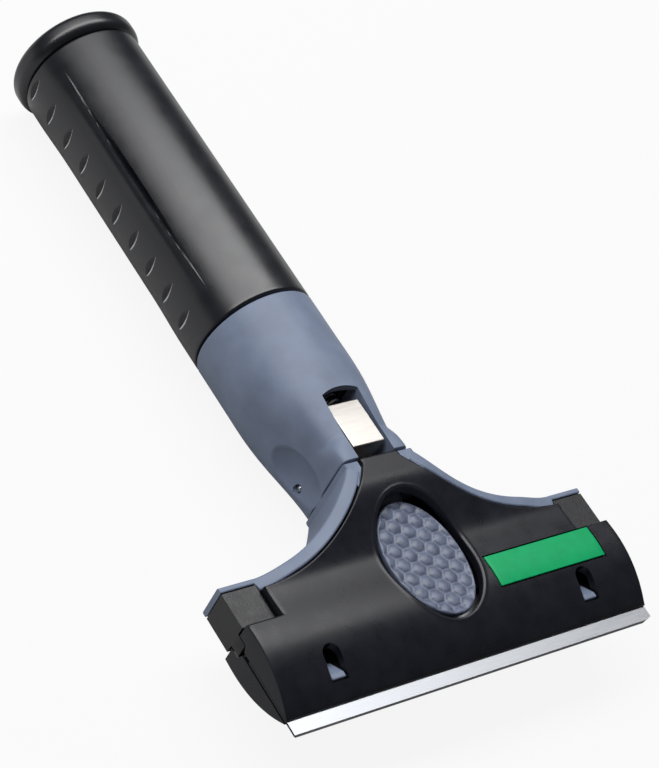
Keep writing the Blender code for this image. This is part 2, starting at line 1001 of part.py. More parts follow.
def coil(name, radius, turns, start, length, centre, axis, datum):
    """A coil of one unbroken wire. It prints the least gap between neighbouring turns."""
    along = {"y": Vector((0, 1, 0)), "z": Vector((0, 0, 1))}[axis]
    across = Vector((1, 0, 0))
    beside = along.cross(across)
    count = turns * coil_points
    curve = bpy.data.curves.new(name, "CURVE")
    curve.dimensions = "3D"
    curve.bevel_depth = wire_radius
    curve.bevel_resolution = 1
    curve.use_fill_caps = True
    line = curve.splines.new("POLY")
    line.points.add(count)
    for i in range(count + 1):
        turn = 2 * math.pi * i / coil_points
        place = Vector(centre) + along * (start + wire_radius + (length - 2 * wire_radius) * i / count)
        place += (across * math.cos(turn) + beside * math.sin(turn)) * radius
        line.points[i].co = (*place, 1.0)
    curve.materials.append(spring_steel())
    solid = bpy.data.objects.new(name, curve)
    bpy.context.scene.collection.objects.link(solid)
    solid.parent = datum
    gap = (length - 2 * wire_radius) / turns - 2 * wire_radius
    print(name, "least gap between turns, mm:", round(gap * 1000, 2))
    return solid


def button_spring(datum):
    start = -well_floor + fit_gap
    length = pad_base() - fit_gap - start
    centre = (0, oval_station, 0)
    return coil("button_spring", button_coil_radius, button_coil_turns, start, length, centre, "z", datum)


def latch_spring_height():
    return latch_top_height - latch_thickness - latch_tab_drop / 2


def latch_spring(datum):
    start = latch_top_station + fit_gap
    length = spring_stop_station() - fit_gap - start
    centre = (0, 0, latch_spring_height())
    return coil("latch_spring", latch_coil_radius, latch_coil_turns, start, length, centre, "y", datum)


def spring_stop_station():
    """Floor of the spring's hole in the core."""
    return pin_high_station + pin_high_radius + spring_stop_wall


# Latch

def lock_plate(datum):
    """One bent strip: a ramp under the button's wedge, a leg, the plate in the window and a tab."""
    thick = latch_thickness
    drop = fit_gap * math.sqrt(1 + latch_ratio ** 2)
    ramp_foot = ramp_station()
    ramp_low = ramp_height(ramp_foot) - drop
    leg_top = latch_leg_height
    leg_low = leg_top - thick
    ramp_end = ramp_foot + (leg_top + drop - ramp_height(ramp_foot)) * latch_ratio
    top = latch_top_height
    outline = [
        (ramp_foot, ramp_low - thick / 2),
        (ramp_foot, ramp_low),
        (ramp_end, leg_top),
        (latch_bend_station, leg_top),
        (latch_bend_station, top - thick / 2),
        (latch_bend_station + thick / 2, top),
        (latch_top_station, top),
        (latch_top_station, top - thick - latch_tab_drop),
        (latch_top_station - thick, top - thick - latch_tab_drop),
        (latch_top_station - thick, top - thick),
        (latch_bend_station + thick, top - thick),
        (latch_bend_station + thick, leg_low),
        (ramp_end, leg_low),
        (ramp_foot + latch_ramp_bend, leg_low - thick),
    ]
    half = latch_width / 2
    solid = prism("lock_plate", outline, -half, half, "x", datum, bright_steel())
    move_origin(solid, (0, latch_bend_station, latch_top_height))
    return solid


# Neck

def neck_section(station):
    """Half width, half depth and squareness of the neck, which is round above the taper."""
    share = smooth_step((taper_station - station) / (taper_station - foot_station))
    half_width = neck_radius + (foot_width / 2 - neck_radius) * share
    half_depth = neck_radius + (foot_depth / 2 - neck_radius) * share
    return half_width, half_depth, 2 + (foot_squareness - 2) * share


def neck_ring(station):
    """One section of the neck, whose front gets squarer towards the foot to meet the rim."""
    half_width, half_depth, back_power = neck_section(station)
    near_foot = smooth_step((foot_front_station - station) / (foot_front_station - foot_station))
    front_power = back_power + (foot_front_squareness - foot_squareness) * near_foot
    points = []
    for i in range(neck_sides):
        turn = 2 * math.pi * i / neck_sides
        across, up = math.sin(turn), math.cos(turn)
        power = front_power if up > 0 else back_power
        reach = (abs(across / half_width) ** power + abs(up / half_depth) ** power) ** (-1 / power)
        points.append((across * reach, station, up * reach))
    return points


def scoop(side, word, datum):
    builder = bmesh.new()
    bmesh.ops.create_uvsphere(builder, u_segments=scoop_sides, v_segments=scoop_rings, radius=1.0)
    size = (scoop_reach, scoop_half_length, scoop_half_depth)
    place = (side * scoop_side, scoop_station, -scoop_drop)
    bmesh.ops.scale(builder, vec=size, verts=builder.verts)
    bmesh.ops.translate(builder, vec=place, verts=builder.verts)
    return add_object("scoop_" + word, builder, datum)


def window_outline():
    """Front view of the neck's window: open at the foot and slightly arched at its upper end."""
    half = window_width / 2
    radius = (half ** 2 + window_arch ** 2) / (2 * window_arch)
    centre = (0, window_end_station + window_arch - radius)
    reach = math.asin(half / radius)
    arch = arc_points(centre, radius, math.pi / 2 - reach, math.pi / 2 + reach, window_arch_steps)
    low = foot_station - overrun
    return [(-half, low), (half, low)] + arch


def neck_shell(handle, head):
    stations = steps_between(foot_station, taper_station, neck_rings) + [seam_station]
    solid = ring_solid("neck_shell", [neck_ring(y) for y in stations], handle, grey_soft())
    half_window = window_width / 2
    half_pocket = pocket_width / 2
    low = foot_station - overrun
    bore = core_radius + core_bore_gap
    cut(
        solid,
        scoop(-1, "left", handle),
        scoop(1, "right", handle),
        rod(
            "neck_bore", neck_bore_station, seam_station + overrun, bore,
            (0, 0, 0), "y", round_sides, handle,
        ),
        block(
            "neck_pocket", (-half_pocket, low, -tang_deep_back - fit_gap),
            (half_pocket, neck_bore_station + overrun, pocket_front - shell_wall), head,
        ),
        prism("neck_window", window_outline(), latch_leg_height, neck_radius + overrun, "z", head),
        block(
            "latch_room", (-half_window, latch_bend_station, latch_leg_height),
            (half_window, neck_bore_station + overrun, pocket_front), head,
        ),
    )
    half = neck_radius + overrun
    centre = (0, pin_low_station, pin_low_height)
    cut(solid, rod("pin_way", -half, half, pin_low_radius + fit_gap, centre, "x", small_sides, head))
    shade_round(solid)
    return solid


def cross_pin(word, radius, station, height, half_length, head):
    profile = [
        (-half_length, 0),
        (-half_length, radius - pin_chamfer),
        (pin_chamfer - half_length, radius),
        (half_length - pin_chamfer, radius),
        (half_length, radius - pin_chamfer),
        (half_length, 0),
    ]
    return turned("tang_pin_" + word, profile, (0, station, height), "x", small_sides, head, zinc_steel())


def pin_half_lengths():
    """The low pin ends just inside the scoop's floor, where it shows, and the high one in the core."""
    along = (pin_low_station - scoop_station) / scoop_half_length
    across = (pin_low_height + axis_drop + scoop_drop) / scoop_half_depth
    depth = scoop_reach * math.sqrt(1 - along ** 2 - across ** 2)
    edge = abs(pin_high_height + axis_drop) + pin_high_radius
    return scoop_side - depth - pin_low_inset, math.sqrt((core_radius - fit_gap) ** 2 - edge ** 2)


# Handle

def handle_core(handle, head):
    """The stiff tube: a pole socket above its floor, and below it the seats for tang and spring.

    It is hollow between the tang's end and the socket's floor, which keeps the weight in the head.
    """
    start = neck_bore_station + fit_gap
    profile = [
        (start, 0),
        (start, core_radius),
        (core_end_station, core_radius),
        (core_end_station, socket_mouth_radius),
        (socket_floor_station, socket_floor_radius),
        (socket_floor_station, 0),
    ]
    solid = turned("handle_core", profile, (0, 0, 0), "y", round_sides, handle, black_frame())
    half_slot = tang_width / 2 + fit_gap
    low = neck_bore_station - overrun
    spring_room = latch_coil_radius + wire_radius + running_gap
    half = core_radius + overrun
    spring_centre = (0, 0, latch_spring_height())
    cut(
        solid,
        block(
            "tang_slot", (-half_slot, low, -tang_deep_back - fit_gap),
            (half_slot, tang_end_station + fit_gap, tang_front + fit_gap), head,
        ),
        rod("spring_hole", low, spring_stop_station(), spring_room, spring_centre, "y", small_sides, head),
        rod(
            "core_hollow", tang_end_station, core_hollow_end_station, core_hollow_radius,
            (0, 0, 0), "y", round_sides, handle,
        ),
        rod(
            "core_pin_way", -half, half, pin_high_radius + fit_gap,
            (0, pin_high_station, pin_high_height), "x", small_sides, head,
        ),
    )
    shade_round(solid)
    return solid


def crease_depth_at(station):
    """The crease is deepest at its middle and runs out at both ends."""
    share = (station - crease_start_station) / (crease_end_station - crease_start_station)
    return crease_depth * math.sin(math.pi * min(max(share, 0.0), 1.0))


def grip_angles():
    """Degrees from the front: even steps, with three close ones across each crease."""
    step = 360 / grip_sides
    even = [step * i for i in range(grip_sides)]
    creases = [crease_angle, 360 - crease_angle]
    room = crease_half_angle * crease_clear_share
    clear = [a for a in even if all(abs(a - c) > room for c in creases)]
    close = [c + shift for c in creases for shift in (-crease_half_angle, 0, crease_half_angle)]
    return sorted(clear + close)


def grip_ring(station):
    """One section of the grip's outside."""
    points = []
    for degrees in grip_angles():
        turn = math.radians(degrees)
        off_front = min(degrees, 360 - degrees)
        radius = grip_radius
        if off_front == crease_angle:
            radius -= crease_depth_at(station)
        elif off_front > crease_angle:
            radius -= side_drop
        points.append((radius * math.sin(turn), station, radius * math.cos(turn)))
    return points


def grip_bore_ring(station, radius):
    turns = [math.radians(degrees) for degrees in grip_angles()]
    return [(radius * math.sin(turn), station, radius * math.cos(turn)) for turn in turns]


def grip_bore():
    """The grip's inside, end to start: it holds the core at both ends and is relieved between."""
    land = core_radius + core_bore_gap
    start, end = grip_start_station, grip_end_station
    steps = [
        (end, land),
        (end - grip_land, land),
        (end - grip_land, grip_hollow_radius),
        (start + grip_land, grip_hollow_radius),
        (start + grip_land, land),
        (start, land),
    ]
    return [grip_bore_ring(station, radius) for station, radius in steps]


def notch(number, side, handle):
    """A lens-shaped slot across the side of the grip."""
    half_length = notch_length / 2
    half_width = notch_width / 2
    bend = half_length * notch_point_share
    outline = [
        (0, -half_length),
        (half_width, -bend),
        (half_width, bend),
        (0, half_length),
        (-half_width, bend),
        (-half_width, -bend),
    ]
    low = grip_radius - side_drop - notch_depth
    cutter = prism("notch_%d_%d" % (number, side), outline, low, grip_radius + overrun, "x", handle)
    cutter.data.transform(Matrix.Rotation(math.radians(notch_angle - 90), 4, "Y"))
    if side < 0:
        cutter.data.transform(Matrix.Scale(-1, 4, Vector((1, 0, 0))))
        cutter.data.flip_normals()
    cutter.location = (0, notch_station + notch_pitch * number, 0)
    return cutter


def grip_sleeve(handle):
    stations = steps_between(crease_start_station, crease_end_station, grip_steps)
    stations = [grip_start_station] + stations + [grip_end_station]
    rings = [grip_ring(y) for y in stations] + grip_bore()
    solid = ring_solid("grip_sleeve", rings, handle, black_grip(), closed=True)
    for number in range(notch_count):
        cut(solid, notch(number, -1, handle), notch(number, 1, handle))
    shade_round(solid)
    return solid


def end_collar(handle):
    inner = core_radius + core_bore_gap
    start, end = collar_start_station, collar_end_station
    corner = collar_round * collar_round_share
    profile = [
        (start, inner),
        (start, collar_radius - collar_round),
        (start + corner, collar_radius - corner),
        (start + collar_round, collar_radius),
        (end - collar_round, collar_radius),
        (end - corner, collar_radius - corner),
        (end, collar_radius - collar_round),
        (end, inner),
    ]
    solid = turned("end_collar", profile, (0, 0, 0), "y", round_sides, handle, black_grip())
    shade_round(solid)
    return solid


def build():
    clear_scene()
    handle = make_datum("handle_datum", (0, -socket_floor_station, 0))
    head = make_datum("head_datum", (0, -socket_floor_station, axis_drop))
    handle_core(handle, head)
    grip_sleeve(handle)
    end_collar(handle)
    neck_shell(handle, head)
    for place, half_length in zip(pin_places(), pin_half_lengths()):
        cross_pin(*place, half_length, head)
    head_frame(head)
    head_rim(head)
    back_cover(head)
    for word, x, station in screw_places():
        back_screw(word, x, station, head)
    blade(head)
    for side, word in ((-1, "left"), (1, "right")):
        blade_hook(side, word, head)
    front_cover(head)
    badge(head)
    blade_clamp(head)
    release_button(head)
    button_spring(head)
    lock_plate(head)
    latch_spring(head)


build()
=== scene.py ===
"""Looks of a hand scraper: a 100 mm steel blade in a wide head, on a round grip with a pole socket.

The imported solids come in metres, with the socket's floor as origin, +Y towards the handle's end and
+Z out of the front. Each section makes one piece or one group of like pieces, in the order in which
the tool is put together. A station is a distance along Y from the blade's cutting edge.
"""

import math

import bmesh
import bpy
import numpy as np
from mathutils import Matrix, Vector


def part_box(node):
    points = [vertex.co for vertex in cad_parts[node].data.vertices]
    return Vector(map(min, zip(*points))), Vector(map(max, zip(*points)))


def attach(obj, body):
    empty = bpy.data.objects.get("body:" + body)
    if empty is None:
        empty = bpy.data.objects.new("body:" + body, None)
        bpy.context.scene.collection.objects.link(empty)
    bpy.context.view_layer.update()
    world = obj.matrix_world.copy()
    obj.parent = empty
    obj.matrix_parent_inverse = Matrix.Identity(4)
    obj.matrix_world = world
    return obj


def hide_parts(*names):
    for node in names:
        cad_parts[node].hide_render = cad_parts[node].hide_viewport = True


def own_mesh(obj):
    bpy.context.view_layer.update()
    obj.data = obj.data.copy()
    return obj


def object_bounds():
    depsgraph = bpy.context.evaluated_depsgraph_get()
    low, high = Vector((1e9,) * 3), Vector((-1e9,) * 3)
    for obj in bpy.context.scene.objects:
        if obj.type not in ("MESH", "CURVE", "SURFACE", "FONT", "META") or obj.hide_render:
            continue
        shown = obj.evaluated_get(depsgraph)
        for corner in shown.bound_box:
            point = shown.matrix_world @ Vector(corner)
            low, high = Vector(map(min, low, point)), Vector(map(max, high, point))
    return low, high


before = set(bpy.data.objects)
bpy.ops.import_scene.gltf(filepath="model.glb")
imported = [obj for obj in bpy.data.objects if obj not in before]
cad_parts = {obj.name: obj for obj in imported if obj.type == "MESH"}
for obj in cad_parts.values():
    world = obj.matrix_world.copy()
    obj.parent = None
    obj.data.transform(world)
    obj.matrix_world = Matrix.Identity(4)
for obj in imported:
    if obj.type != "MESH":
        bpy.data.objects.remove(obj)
solids_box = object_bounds()


# -----
# Handle core: the stiff tube inside the grip, with the socket for a pole. Only its socket shows,
# from behind.

def colour(code):
    """The linear colour of an sRGB hex value."""
    shares = np.array([int(code[i:i + 2], 16) for i in (1, 3, 5)]) / 255
    straight = np.where(shares <= 0.04045, shares / 12.92, ((shares + 0.055) / 1.055) ** 2.4)
    return (*straight.tolist(), 1.0)


def add_node(material, kind, settings=(), inputs=()):
    """Adds a node: settings are its attributes, inputs are values or other nodes' outputs."""
    tree = material.node_tree
    node = tree.nodes.new(kind)
    for name, value in dict(settings).items():
        setattr(node, name, value)
    for name, value in dict(inputs).items():
        if isinstance(value, bpy.types.NodeSocket):
            tree.links.new(value, node.inputs[name])
        else:
            node.inputs[name].default_value = value
    return node


def new_material(name, **sockets):
    """A material whose shader has these socket values, with underscores for the names' spaces."""
    material = bpy.data.materials.new(name)
    material.use_nodes = True
    shader = material.node_tree.nodes["Principled BSDF"]
    for socket, value in sockets.items():
        shader.inputs[socket.replace("_", " ")].default_value = value
    return material


def wire(material, socket, output):
    """Joins an output to a socket of the material's shader."""
    shader = material.node_tree.nodes["Principled BSDF"]
    material.node_tree.links.new(output, shader.inputs[socket])


def grain(material, size, detail=3.0, stretch=(1.0, 1.0, 1.0)):
    """Noise over the piece whose grain has a size in metres, drawn out along each axis by stretch."""
    place = add_node(material, "ShaderNodeTexCoord")
    spread = add_node(material, "ShaderNodeMapping", inputs={
        "Vector": place.outputs["Object"], "Scale": [1 / (size * s) for s in stretch],
    })
    return add_node(material, "ShaderNodeTexNoise", inputs={
        "Vector": spread.outputs["Vector"], "Scale": 1.0, "Detail": detail, "Roughness": 0.55,
    }).outputs["Fac"]


def mixed(material, share, low, high):
    """A mix of two colours: the node takes them at its inputs 6 and 7, and gives it at output 2."""
    return add_node(material, "ShaderNodeMix", {"data_type": "RGBA"}, {
        0: share, 6: low, 7: high,
    }).outputs[2]


def between(material, share, low, high):
    """A number or colour that runs from low to high where the share runs from 0.3 to 0.7."""
    ramp = add_node(material, "ShaderNodeMapRange", inputs={
        "Value": share, "From Min": 0.3, "From Max": 0.7,
    })
    if isinstance(low, str):
        return mixed(material, ramp.outputs["Result"], colour(low), colour(high))
    ramp.inputs["To Min"].default_value = low
    ramp.inputs["To Max"].default_value = high
    return ramp.outputs["Result"]


def lay_over(material, share, code):
    """Lays a colour over the material's own where the share is 1."""
    own = material.node_tree.nodes["Principled BSDF"].inputs["Base Color"].links[0].from_socket
    wire(material, "Base Color", mixed(material, share, own, colour(code)))


def clouded(name, cloud, colours, roughness, pits=None, depth=0.0, **sockets):
    """A material whose colour and roughness each run between two values over one cloud of noise.

    The cloud is a grain size in metres, a detail and, for lines, a stretch. Where there is a depth,
    a bump of that many metres follows a second noise with pits of a size, or else the cloud.
    """
    material = new_material(name, **sockets)
    noise = grain(material, *cloud)
    wire(material, "Base Color", between(material, noise, *colours))
    wire(material, "Roughness", between(material, noise, *roughness))
    if depth:
        height = grain(material, pits) if pits else noise
        bump = add_node(material, "ShaderNodeBump", inputs={"Height": height, "Distance": depth})
        wire(material, "Normal", bump.outputs["Normal"])
    return material


def dress(node, material):
    """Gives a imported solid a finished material."""
    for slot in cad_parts[node].material_slots:
        slot.material = material


# Glass-filled nylon, injection moulded: the fibres make a matt, slightly mottled black.
frame_nylon = clouded(
    "glass_filled_nylon_moulded", cloud=(0.0022, 4.0), colours=("#0E0F12", "#191A1E"),
    roughness=(0.36, 0.46), pits=0.0005, depth=0.00004, Specular_IOR_Level=0.45,
)
dress("handle_core", frame_nylon)


# -----
# Neck: a soft shell moulded over the core, round at the grip and flattened at the head, with a
# window for the steel plate and a hollow for the thumb on each side.

blade_low, blade_high = (np.array(corner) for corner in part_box("blade"))
edge = blade_low[1]
axis_drop = (blade_low[2] + blade_high[2]) / 2
head_seat = np.array([0.0, edge, axis_drop])
handle_seat = np.array([0.0, edge, 0.0])
shade_angle = math.radians(35.0)
merge_reach = 1e-7


def mend(mesh, reach=0.0):
    """Merges a closed mesh's doubles within a reach, and turns its faces outward."""
    builder = bmesh.new()
    builder.from_mesh(mesh)
    if reach:
        bmesh.ops.remove_doubles(builder, verts=builder.verts, dist=reach)
        bmesh.ops.dissolve_degenerate(builder, edges=builder.edges, dist=reach)
    if builder.calc_volume(signed=True) < 0:
        bmesh.ops.reverse_faces(builder, faces=builder.faces)
    builder.to_mesh(mesh)
    builder.free()


def shade(mesh):
    """Smooth shading that stops at edges which bend by more than the shade angle."""
    mesh.shade_smooth()
    mesh.set_sharp_from_angle(angle=shade_angle)


def show(thing):
    """Puts an object in the scene."""
    bpy.context.scene.collection.objects.link(thing)


def keep_mesh(name, mesh, material, body):
    """Makes a piece of a closed mesh, and lets it ride on a body."""
    mend(mesh, merge_reach)
    shade(mesh)
    mesh.materials.append(material)
    piece = bpy.data.objects.new(name, mesh)
    show(piece)
    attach(piece, body)
    return piece


def grid_mesh(name, rows, ring=False, seat=head_seat):
    """A mesh from rows of points, each row closed on itself, counted from a seat.

    The rows are joined in turn, and close to a ring, or the first and last end in a face.
    """
    rows = np.asarray(rows, dtype=float) + seat
    count, sides = rows.shape[:2]
    index = np.arange(count * sides).reshape(count, sides)
    lower = index if ring else index[:-1]
    upper = np.roll(index, -1, axis=0) if ring else index[1:]
    quads = np.stack([lower, np.roll(lower, -1, 1), np.roll(upper, -1, 1), upper], axis=-1)
    faces = quads.reshape(-1, 4).tolist()
    if not ring:
        faces += [index[0][::-1].tolist(), index[-1].tolist()]
    mesh = bpy.data.meshes.new(name)
    mesh.from_pydata(rows.reshape(-1, 3).tolist(), [], faces)
    return mesh


def keep(name, rows, material, body, ring=False, seat=head_seat):
    """Makes a piece of rows of points, and lets it ride on a body."""
    return keep_mesh(name, grid_mesh(name, rows, ring, seat), material, body)


def loop_turns(count):
    """Even angles round a full turn, the last one left out."""
    return np.arange(count) * 2 * math.pi / count


def smooth_step(share):
    """0 up to a share of 0 and 1 from a share of 1, level at both ends."""
    share = np.clip(share, 0.0, 1.0)
    return share * share * (3 - 2 * share)


def arc_points(middle, radius, start, end, count):
    """Points of an arc about a middle, from one angle to another."""
    turns = np.linspace(start, end, count)
    return np.stack([middle[0] + radius * np.cos(turns), middle[1] + radius * np.sin(turns)], -1)


def quarter_round(size, count):
    """Steps of a quarter round: in one direction from 0 up to its size, in the other down to 0."""
    turns = np.linspace(0, math.pi / 2, count)
    return np.stack([size * (1 - np.cos(turns)), size * (1 - np.sin(turns))], -1)


def carried(outline, low, high, axis="x"):
    """Two rows of points: an outline across an axis, at a low and at a high place along it."""
    return [np.insert(outline, "xyz".index(axis), end, axis=1) for end in (low, high)]


def prism(name, outline, low, high, axis="z"):
    """A closed tool for cutting or joining: an outline carried along an axis."""
    mesh = grid_mesh(name, carried(outline, low, high, axis))
    mend(mesh)
    return bpy.data.objects.new(name, mesh)


def shape_with(piece, operation, tools):
    """Cuts tools out of a piece or joins them to it, keeps the result and removes the tools."""
    for tool in tools:
        show(tool)
        boolean = piece.modifiers.new(tool.name, "BOOLEAN")
        boolean.operation = operation
        boolean.solver = "EXACT"
        boolean.object = tool
    bpy.context.view_layer.update()
    shaped = piece.evaluated_get(bpy.context.evaluated_depsgraph_get())
    mesh = bpy.data.meshes.new_from_object(shaped)
    piece.modifiers.clear()
    piece.data = mesh
    shade(mesh)
    for tool in tools:
        bpy.data.objects.remove(tool, do_unlink=True)


neck_foot = 0.0516
neck_taper = 0.0840
neck_seam = 0.0955
neck_radius = 0.01485
neck_round = 0.0004
foot_half_width = 0.0093
foot_half_depth = 0.0118
foot_squareness = 4.0
foot_front_squareness = 12.0
foot_front_end = 0.0585
scoop_side = 0.0148
scoop_station = 0.0570
scoop_drop = 0.0025
scoop_reach = 0.0068
scoop_half_length = 0.0110
scoop_half_depth = 0.0080
scoop_blend = 0.00035
neck_rows = 200
neck_columns = 240


def neck_surface():
    """Rows of a superellipse whose width, depth and power go from round to the foot's section.

    Where a row enters the thumb's hollow, an ellipsoid beside the neck, its width is the smooth
    minimum of the row and the ellipsoid. Both ends turn in by a small round.
    """
    station = np.linspace(neck_foot, neck_seam, neck_rows)[:, None]
    turn = loop_turns(neck_columns)[None, :]
    share = smooth_step((neck_taper - station) / (neck_taper - neck_foot))
    half_width = neck_radius + (foot_half_width - neck_radius) * share
    half_depth = neck_radius + (foot_half_depth - neck_radius) * share
    near_foot = smooth_step((foot_front_end - station) / (foot_front_end - neck_foot))
    back_power = 2 + (foot_squareness - 2) * share
    front_power = back_power + (foot_front_squareness - foot_squareness) * near_foot
    across, up = np.sin(turn), np.cos(turn)
    power = np.where(up > 0, front_power, back_power)
    total = np.abs(across / half_width) ** power + np.abs(up / half_depth) ** power
    left = np.maximum(neck_round - np.minimum(station - neck_foot, neck_seam - station), 0)
    bite = neck_round - np.sqrt(neck_round ** 2 - np.minimum(left, neck_round) ** 2)
    reach = total ** (-1 / power) - bite
    x, z = across * reach, up * reach
    along = (station - scoop_station) / scoop_half_length
    rise = (z + scoop_drop) / scoop_half_depth
    inside = 1 - along ** 2 - rise ** 2
    limit = scoop_side - scoop_reach * np.sqrt(np.maximum(inside, 0))
    side = np.abs(x)
    gap = np.clip((limit - side) / scoop_blend, -1, 1)
    soft = np.where(gap > -1, side - scoop_blend * (1 - gap) ** 2 / 4, limit)
    x = np.sign(x) * np.where(inside > 0, soft, side)
    return np.stack([x, station + 0 * turn, z], axis=-1)


# Thermoplastic elastomer out of a finely sparked mould: a satin blue-grey with a soft shine.
grey = clouded(
    "soft_elastomer_moulded", cloud=(0.006, 3.0), colours=("#6A758A", "#768197"),
    roughness=(0.40, 0.50), pits=0.0004, depth=0.00002, Specular_IOR_Level=0.3,
)


window_half_width = 0.00495
window_end = 0.0681
window_arch = 0.0010
latch_floor = 0.0050
latch_bend = 0.0545
room_end = 0.0720
room_front = 0.0108
pocket_front = 0.0088
pocket_back = -0.0093
core_radius = 0.0118
bore_start = 0.0700
pin_station = 0.0581
pin_height = -0.0072
pin_way_radius = 0.0011
overrun = 0.002


def rectangle(half_width, low, high):
    """Four corners about the middle line, between two places."""
    return [(-half_width, low), (half_width, low), (half_width, high), (-half_width, high)]


def window_outline():
    """The window from the front: open at the foot, with an arched upper end."""
    half = window_half_width
    radius = (half ** 2 + window_arch ** 2) / (2 * window_arch)
    reach = math.asin(half / radius)
    middle = (0.0, window_end + window_arch - radius)
    arch = arc_points(middle, radius, math.pi / 2 - reach, math.pi / 2 + reach, 24)
    return np.vstack([rectangle(half, neck_foot - overrun, window_end)[:2], arch])


neck = keep("neck", neck_surface(), grey, "handle", seat=handle_seat)
circle = np.stack([np.cos(loop_turns(96)), np.sin(loop_turns(96))], -1)
shape_with(neck, "DIFFERENCE", [
    prism("pocket", rectangle(window_half_width, neck_foot - overrun, room_end),
          pocket_back, pocket_front),
    prism("room", rectangle(window_half_width, latch_bend, room_end), latch_floor, room_front),
    prism("window", window_outline(), latch_floor, neck_radius + overrun),
    prism("bore", circle * core_radius - (0, axis_drop), bore_start, neck_seam + overrun, "y"),
    prism("pin_way", circle * pin_way_radius + (pin_station, pin_height),
          -neck_radius - overrun, neck_radius + overrun, "x"),
])
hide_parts("neck_shell")


# -----
# Cross pins: two plain turned pins hold the frame's tongue in the neck and in the core. The lower
# one shows as a small mark in the hollow for the thumb.

# Mild steel, zinc plated: bright and slightly cloudy, with a cool cast.
zinc = clouded(
    "mild_steel_zinc_plated", cloud=(0.0009, 4.0), colours=("#A6AAAF", "#C3C6CA"),
    roughness=(0.26, 0.38), Metallic=1.0,
)
dress("tang_pin_low", zinc)
dress("tang_pin_high", zinc)


# -----
# Grip: a black sleeve over the core, moulded in a firm rubber. A smooth panel runs along its front
# between two long tapered creases, and ten lens-shaped notches run down each side for the fingers.

grip_start = 0.0961
grip_end = 0.1775
grip_radius = 0.01485
grip_round = 0.0004
grip_hollow_radius = 0.0128
grip_land = 0.0040
side_drop = 0.0003
side_drop_swell = 0.6
side_drop_lead = 0.0002
side_drop_width = 0.0012
crease_turn = math.radians(53.0)
crease_start = 0.1035
crease_end = 0.1725
crease_depth = 0.0014
crease_half_width = 0.00068
crease_taper_power = 0.7
crease_wall_power = 0.8
least_width = 1e-6
ridge_height = 0.00022
ridge_offset = 0.0020
ridge_width = 0.0010
notch_count = 10
notch_station = 0.1037
notch_pitch = 0.00795
notch_turn = math.radians(92.0)
notch_half_length = 0.0035
notch_half_width = 0.00105
notch_depth = 0.0010
notch_valley = 0.30
highlight_end = -0.20
highlight_blend = 0.15


def dense(low, high, coarse, places, reach, fine):
    """Values from low to high in coarse steps, with fine steps within reach of each place."""
    close = [np.arange(p - reach, p + reach, fine) for p in places]
    rest = np.arange(low, high, coarse)
    clear = np.min(np.abs(rest[:, None] - np.asarray(places)[None, :]), axis=1) > reach + coarse / 3
    values = np.concatenate([rest[clear], *close, [low, high]])
    return np.unique(np.round(values[(values >= low) & (values <= high)], 7))


def notch_place(turn, station):
    """Place in the nearest notch: across its long way and along the grip, each from -1 to 1."""
    across = (np.abs(turn) - notch_turn) * grip_radius / notch_half_length
    number = np.clip(np.round((station - notch_station) / notch_pitch), 0, notch_count - 1)
    return across, (station - notch_station - number * notch_pitch) / notch_half_width


def grip_radius_at(turn, station):
    """The grip's radius: its round less the sides' drop, the creases and the notches.

    A crease is a V whose depth and width follow half a sine along the grip, with a low ridge on its
    outer side. From there on the sides stand a little lower. A notch is a pit inside the lens where
    1 - across squared is more than the distance along the grip. Its two walls are flat and meet in
    a valley a little nearer the collar.
    """
    beyond = (np.abs(turn) - crease_turn) * grip_radius
    swell = np.sin(math.pi * np.clip((station - crease_start) / (crease_end - crease_start), 0, 1))
    taper = swell ** crease_taper_power
    lowered = smooth_step((beyond + side_drop_lead) / side_drop_width)
    radius = grip_radius - side_drop * smooth_step(swell / side_drop_swell) * lowered
    groove = np.clip(1 - np.abs(beyond) / (crease_half_width * taper + least_width), 0, 1)
    radius = radius - crease_depth * taper ** 2 * groove ** crease_wall_power
    radius = radius + ridge_height * taper * np.exp(-((beyond - ridge_offset) / ridge_width) ** 2)
    across, along = notch_place(turn, station)
    lens = np.maximum(1 - across ** 2, 0)
    head_wall = (lens + along) / (1 + notch_valley)
    collar_wall = (lens - along) / (1 - notch_valley)
    return radius - notch_depth * np.maximum(np.minimum(head_wall, collar_wall), 0)


def painted_highlight_share(turn, station):
    """1 on the outer part of each notch's head-side wall, where a pale highlight is painted on."""
    across, along = notch_place(turn, station)
    lens = 1 - across ** 2
    inside = smooth_step((lens + along) / highlight_blend + 0.5)
    return inside * smooth_step((highlight_end * lens - along) / highlight_blend + 0.5) * (lens > highlight_blend)


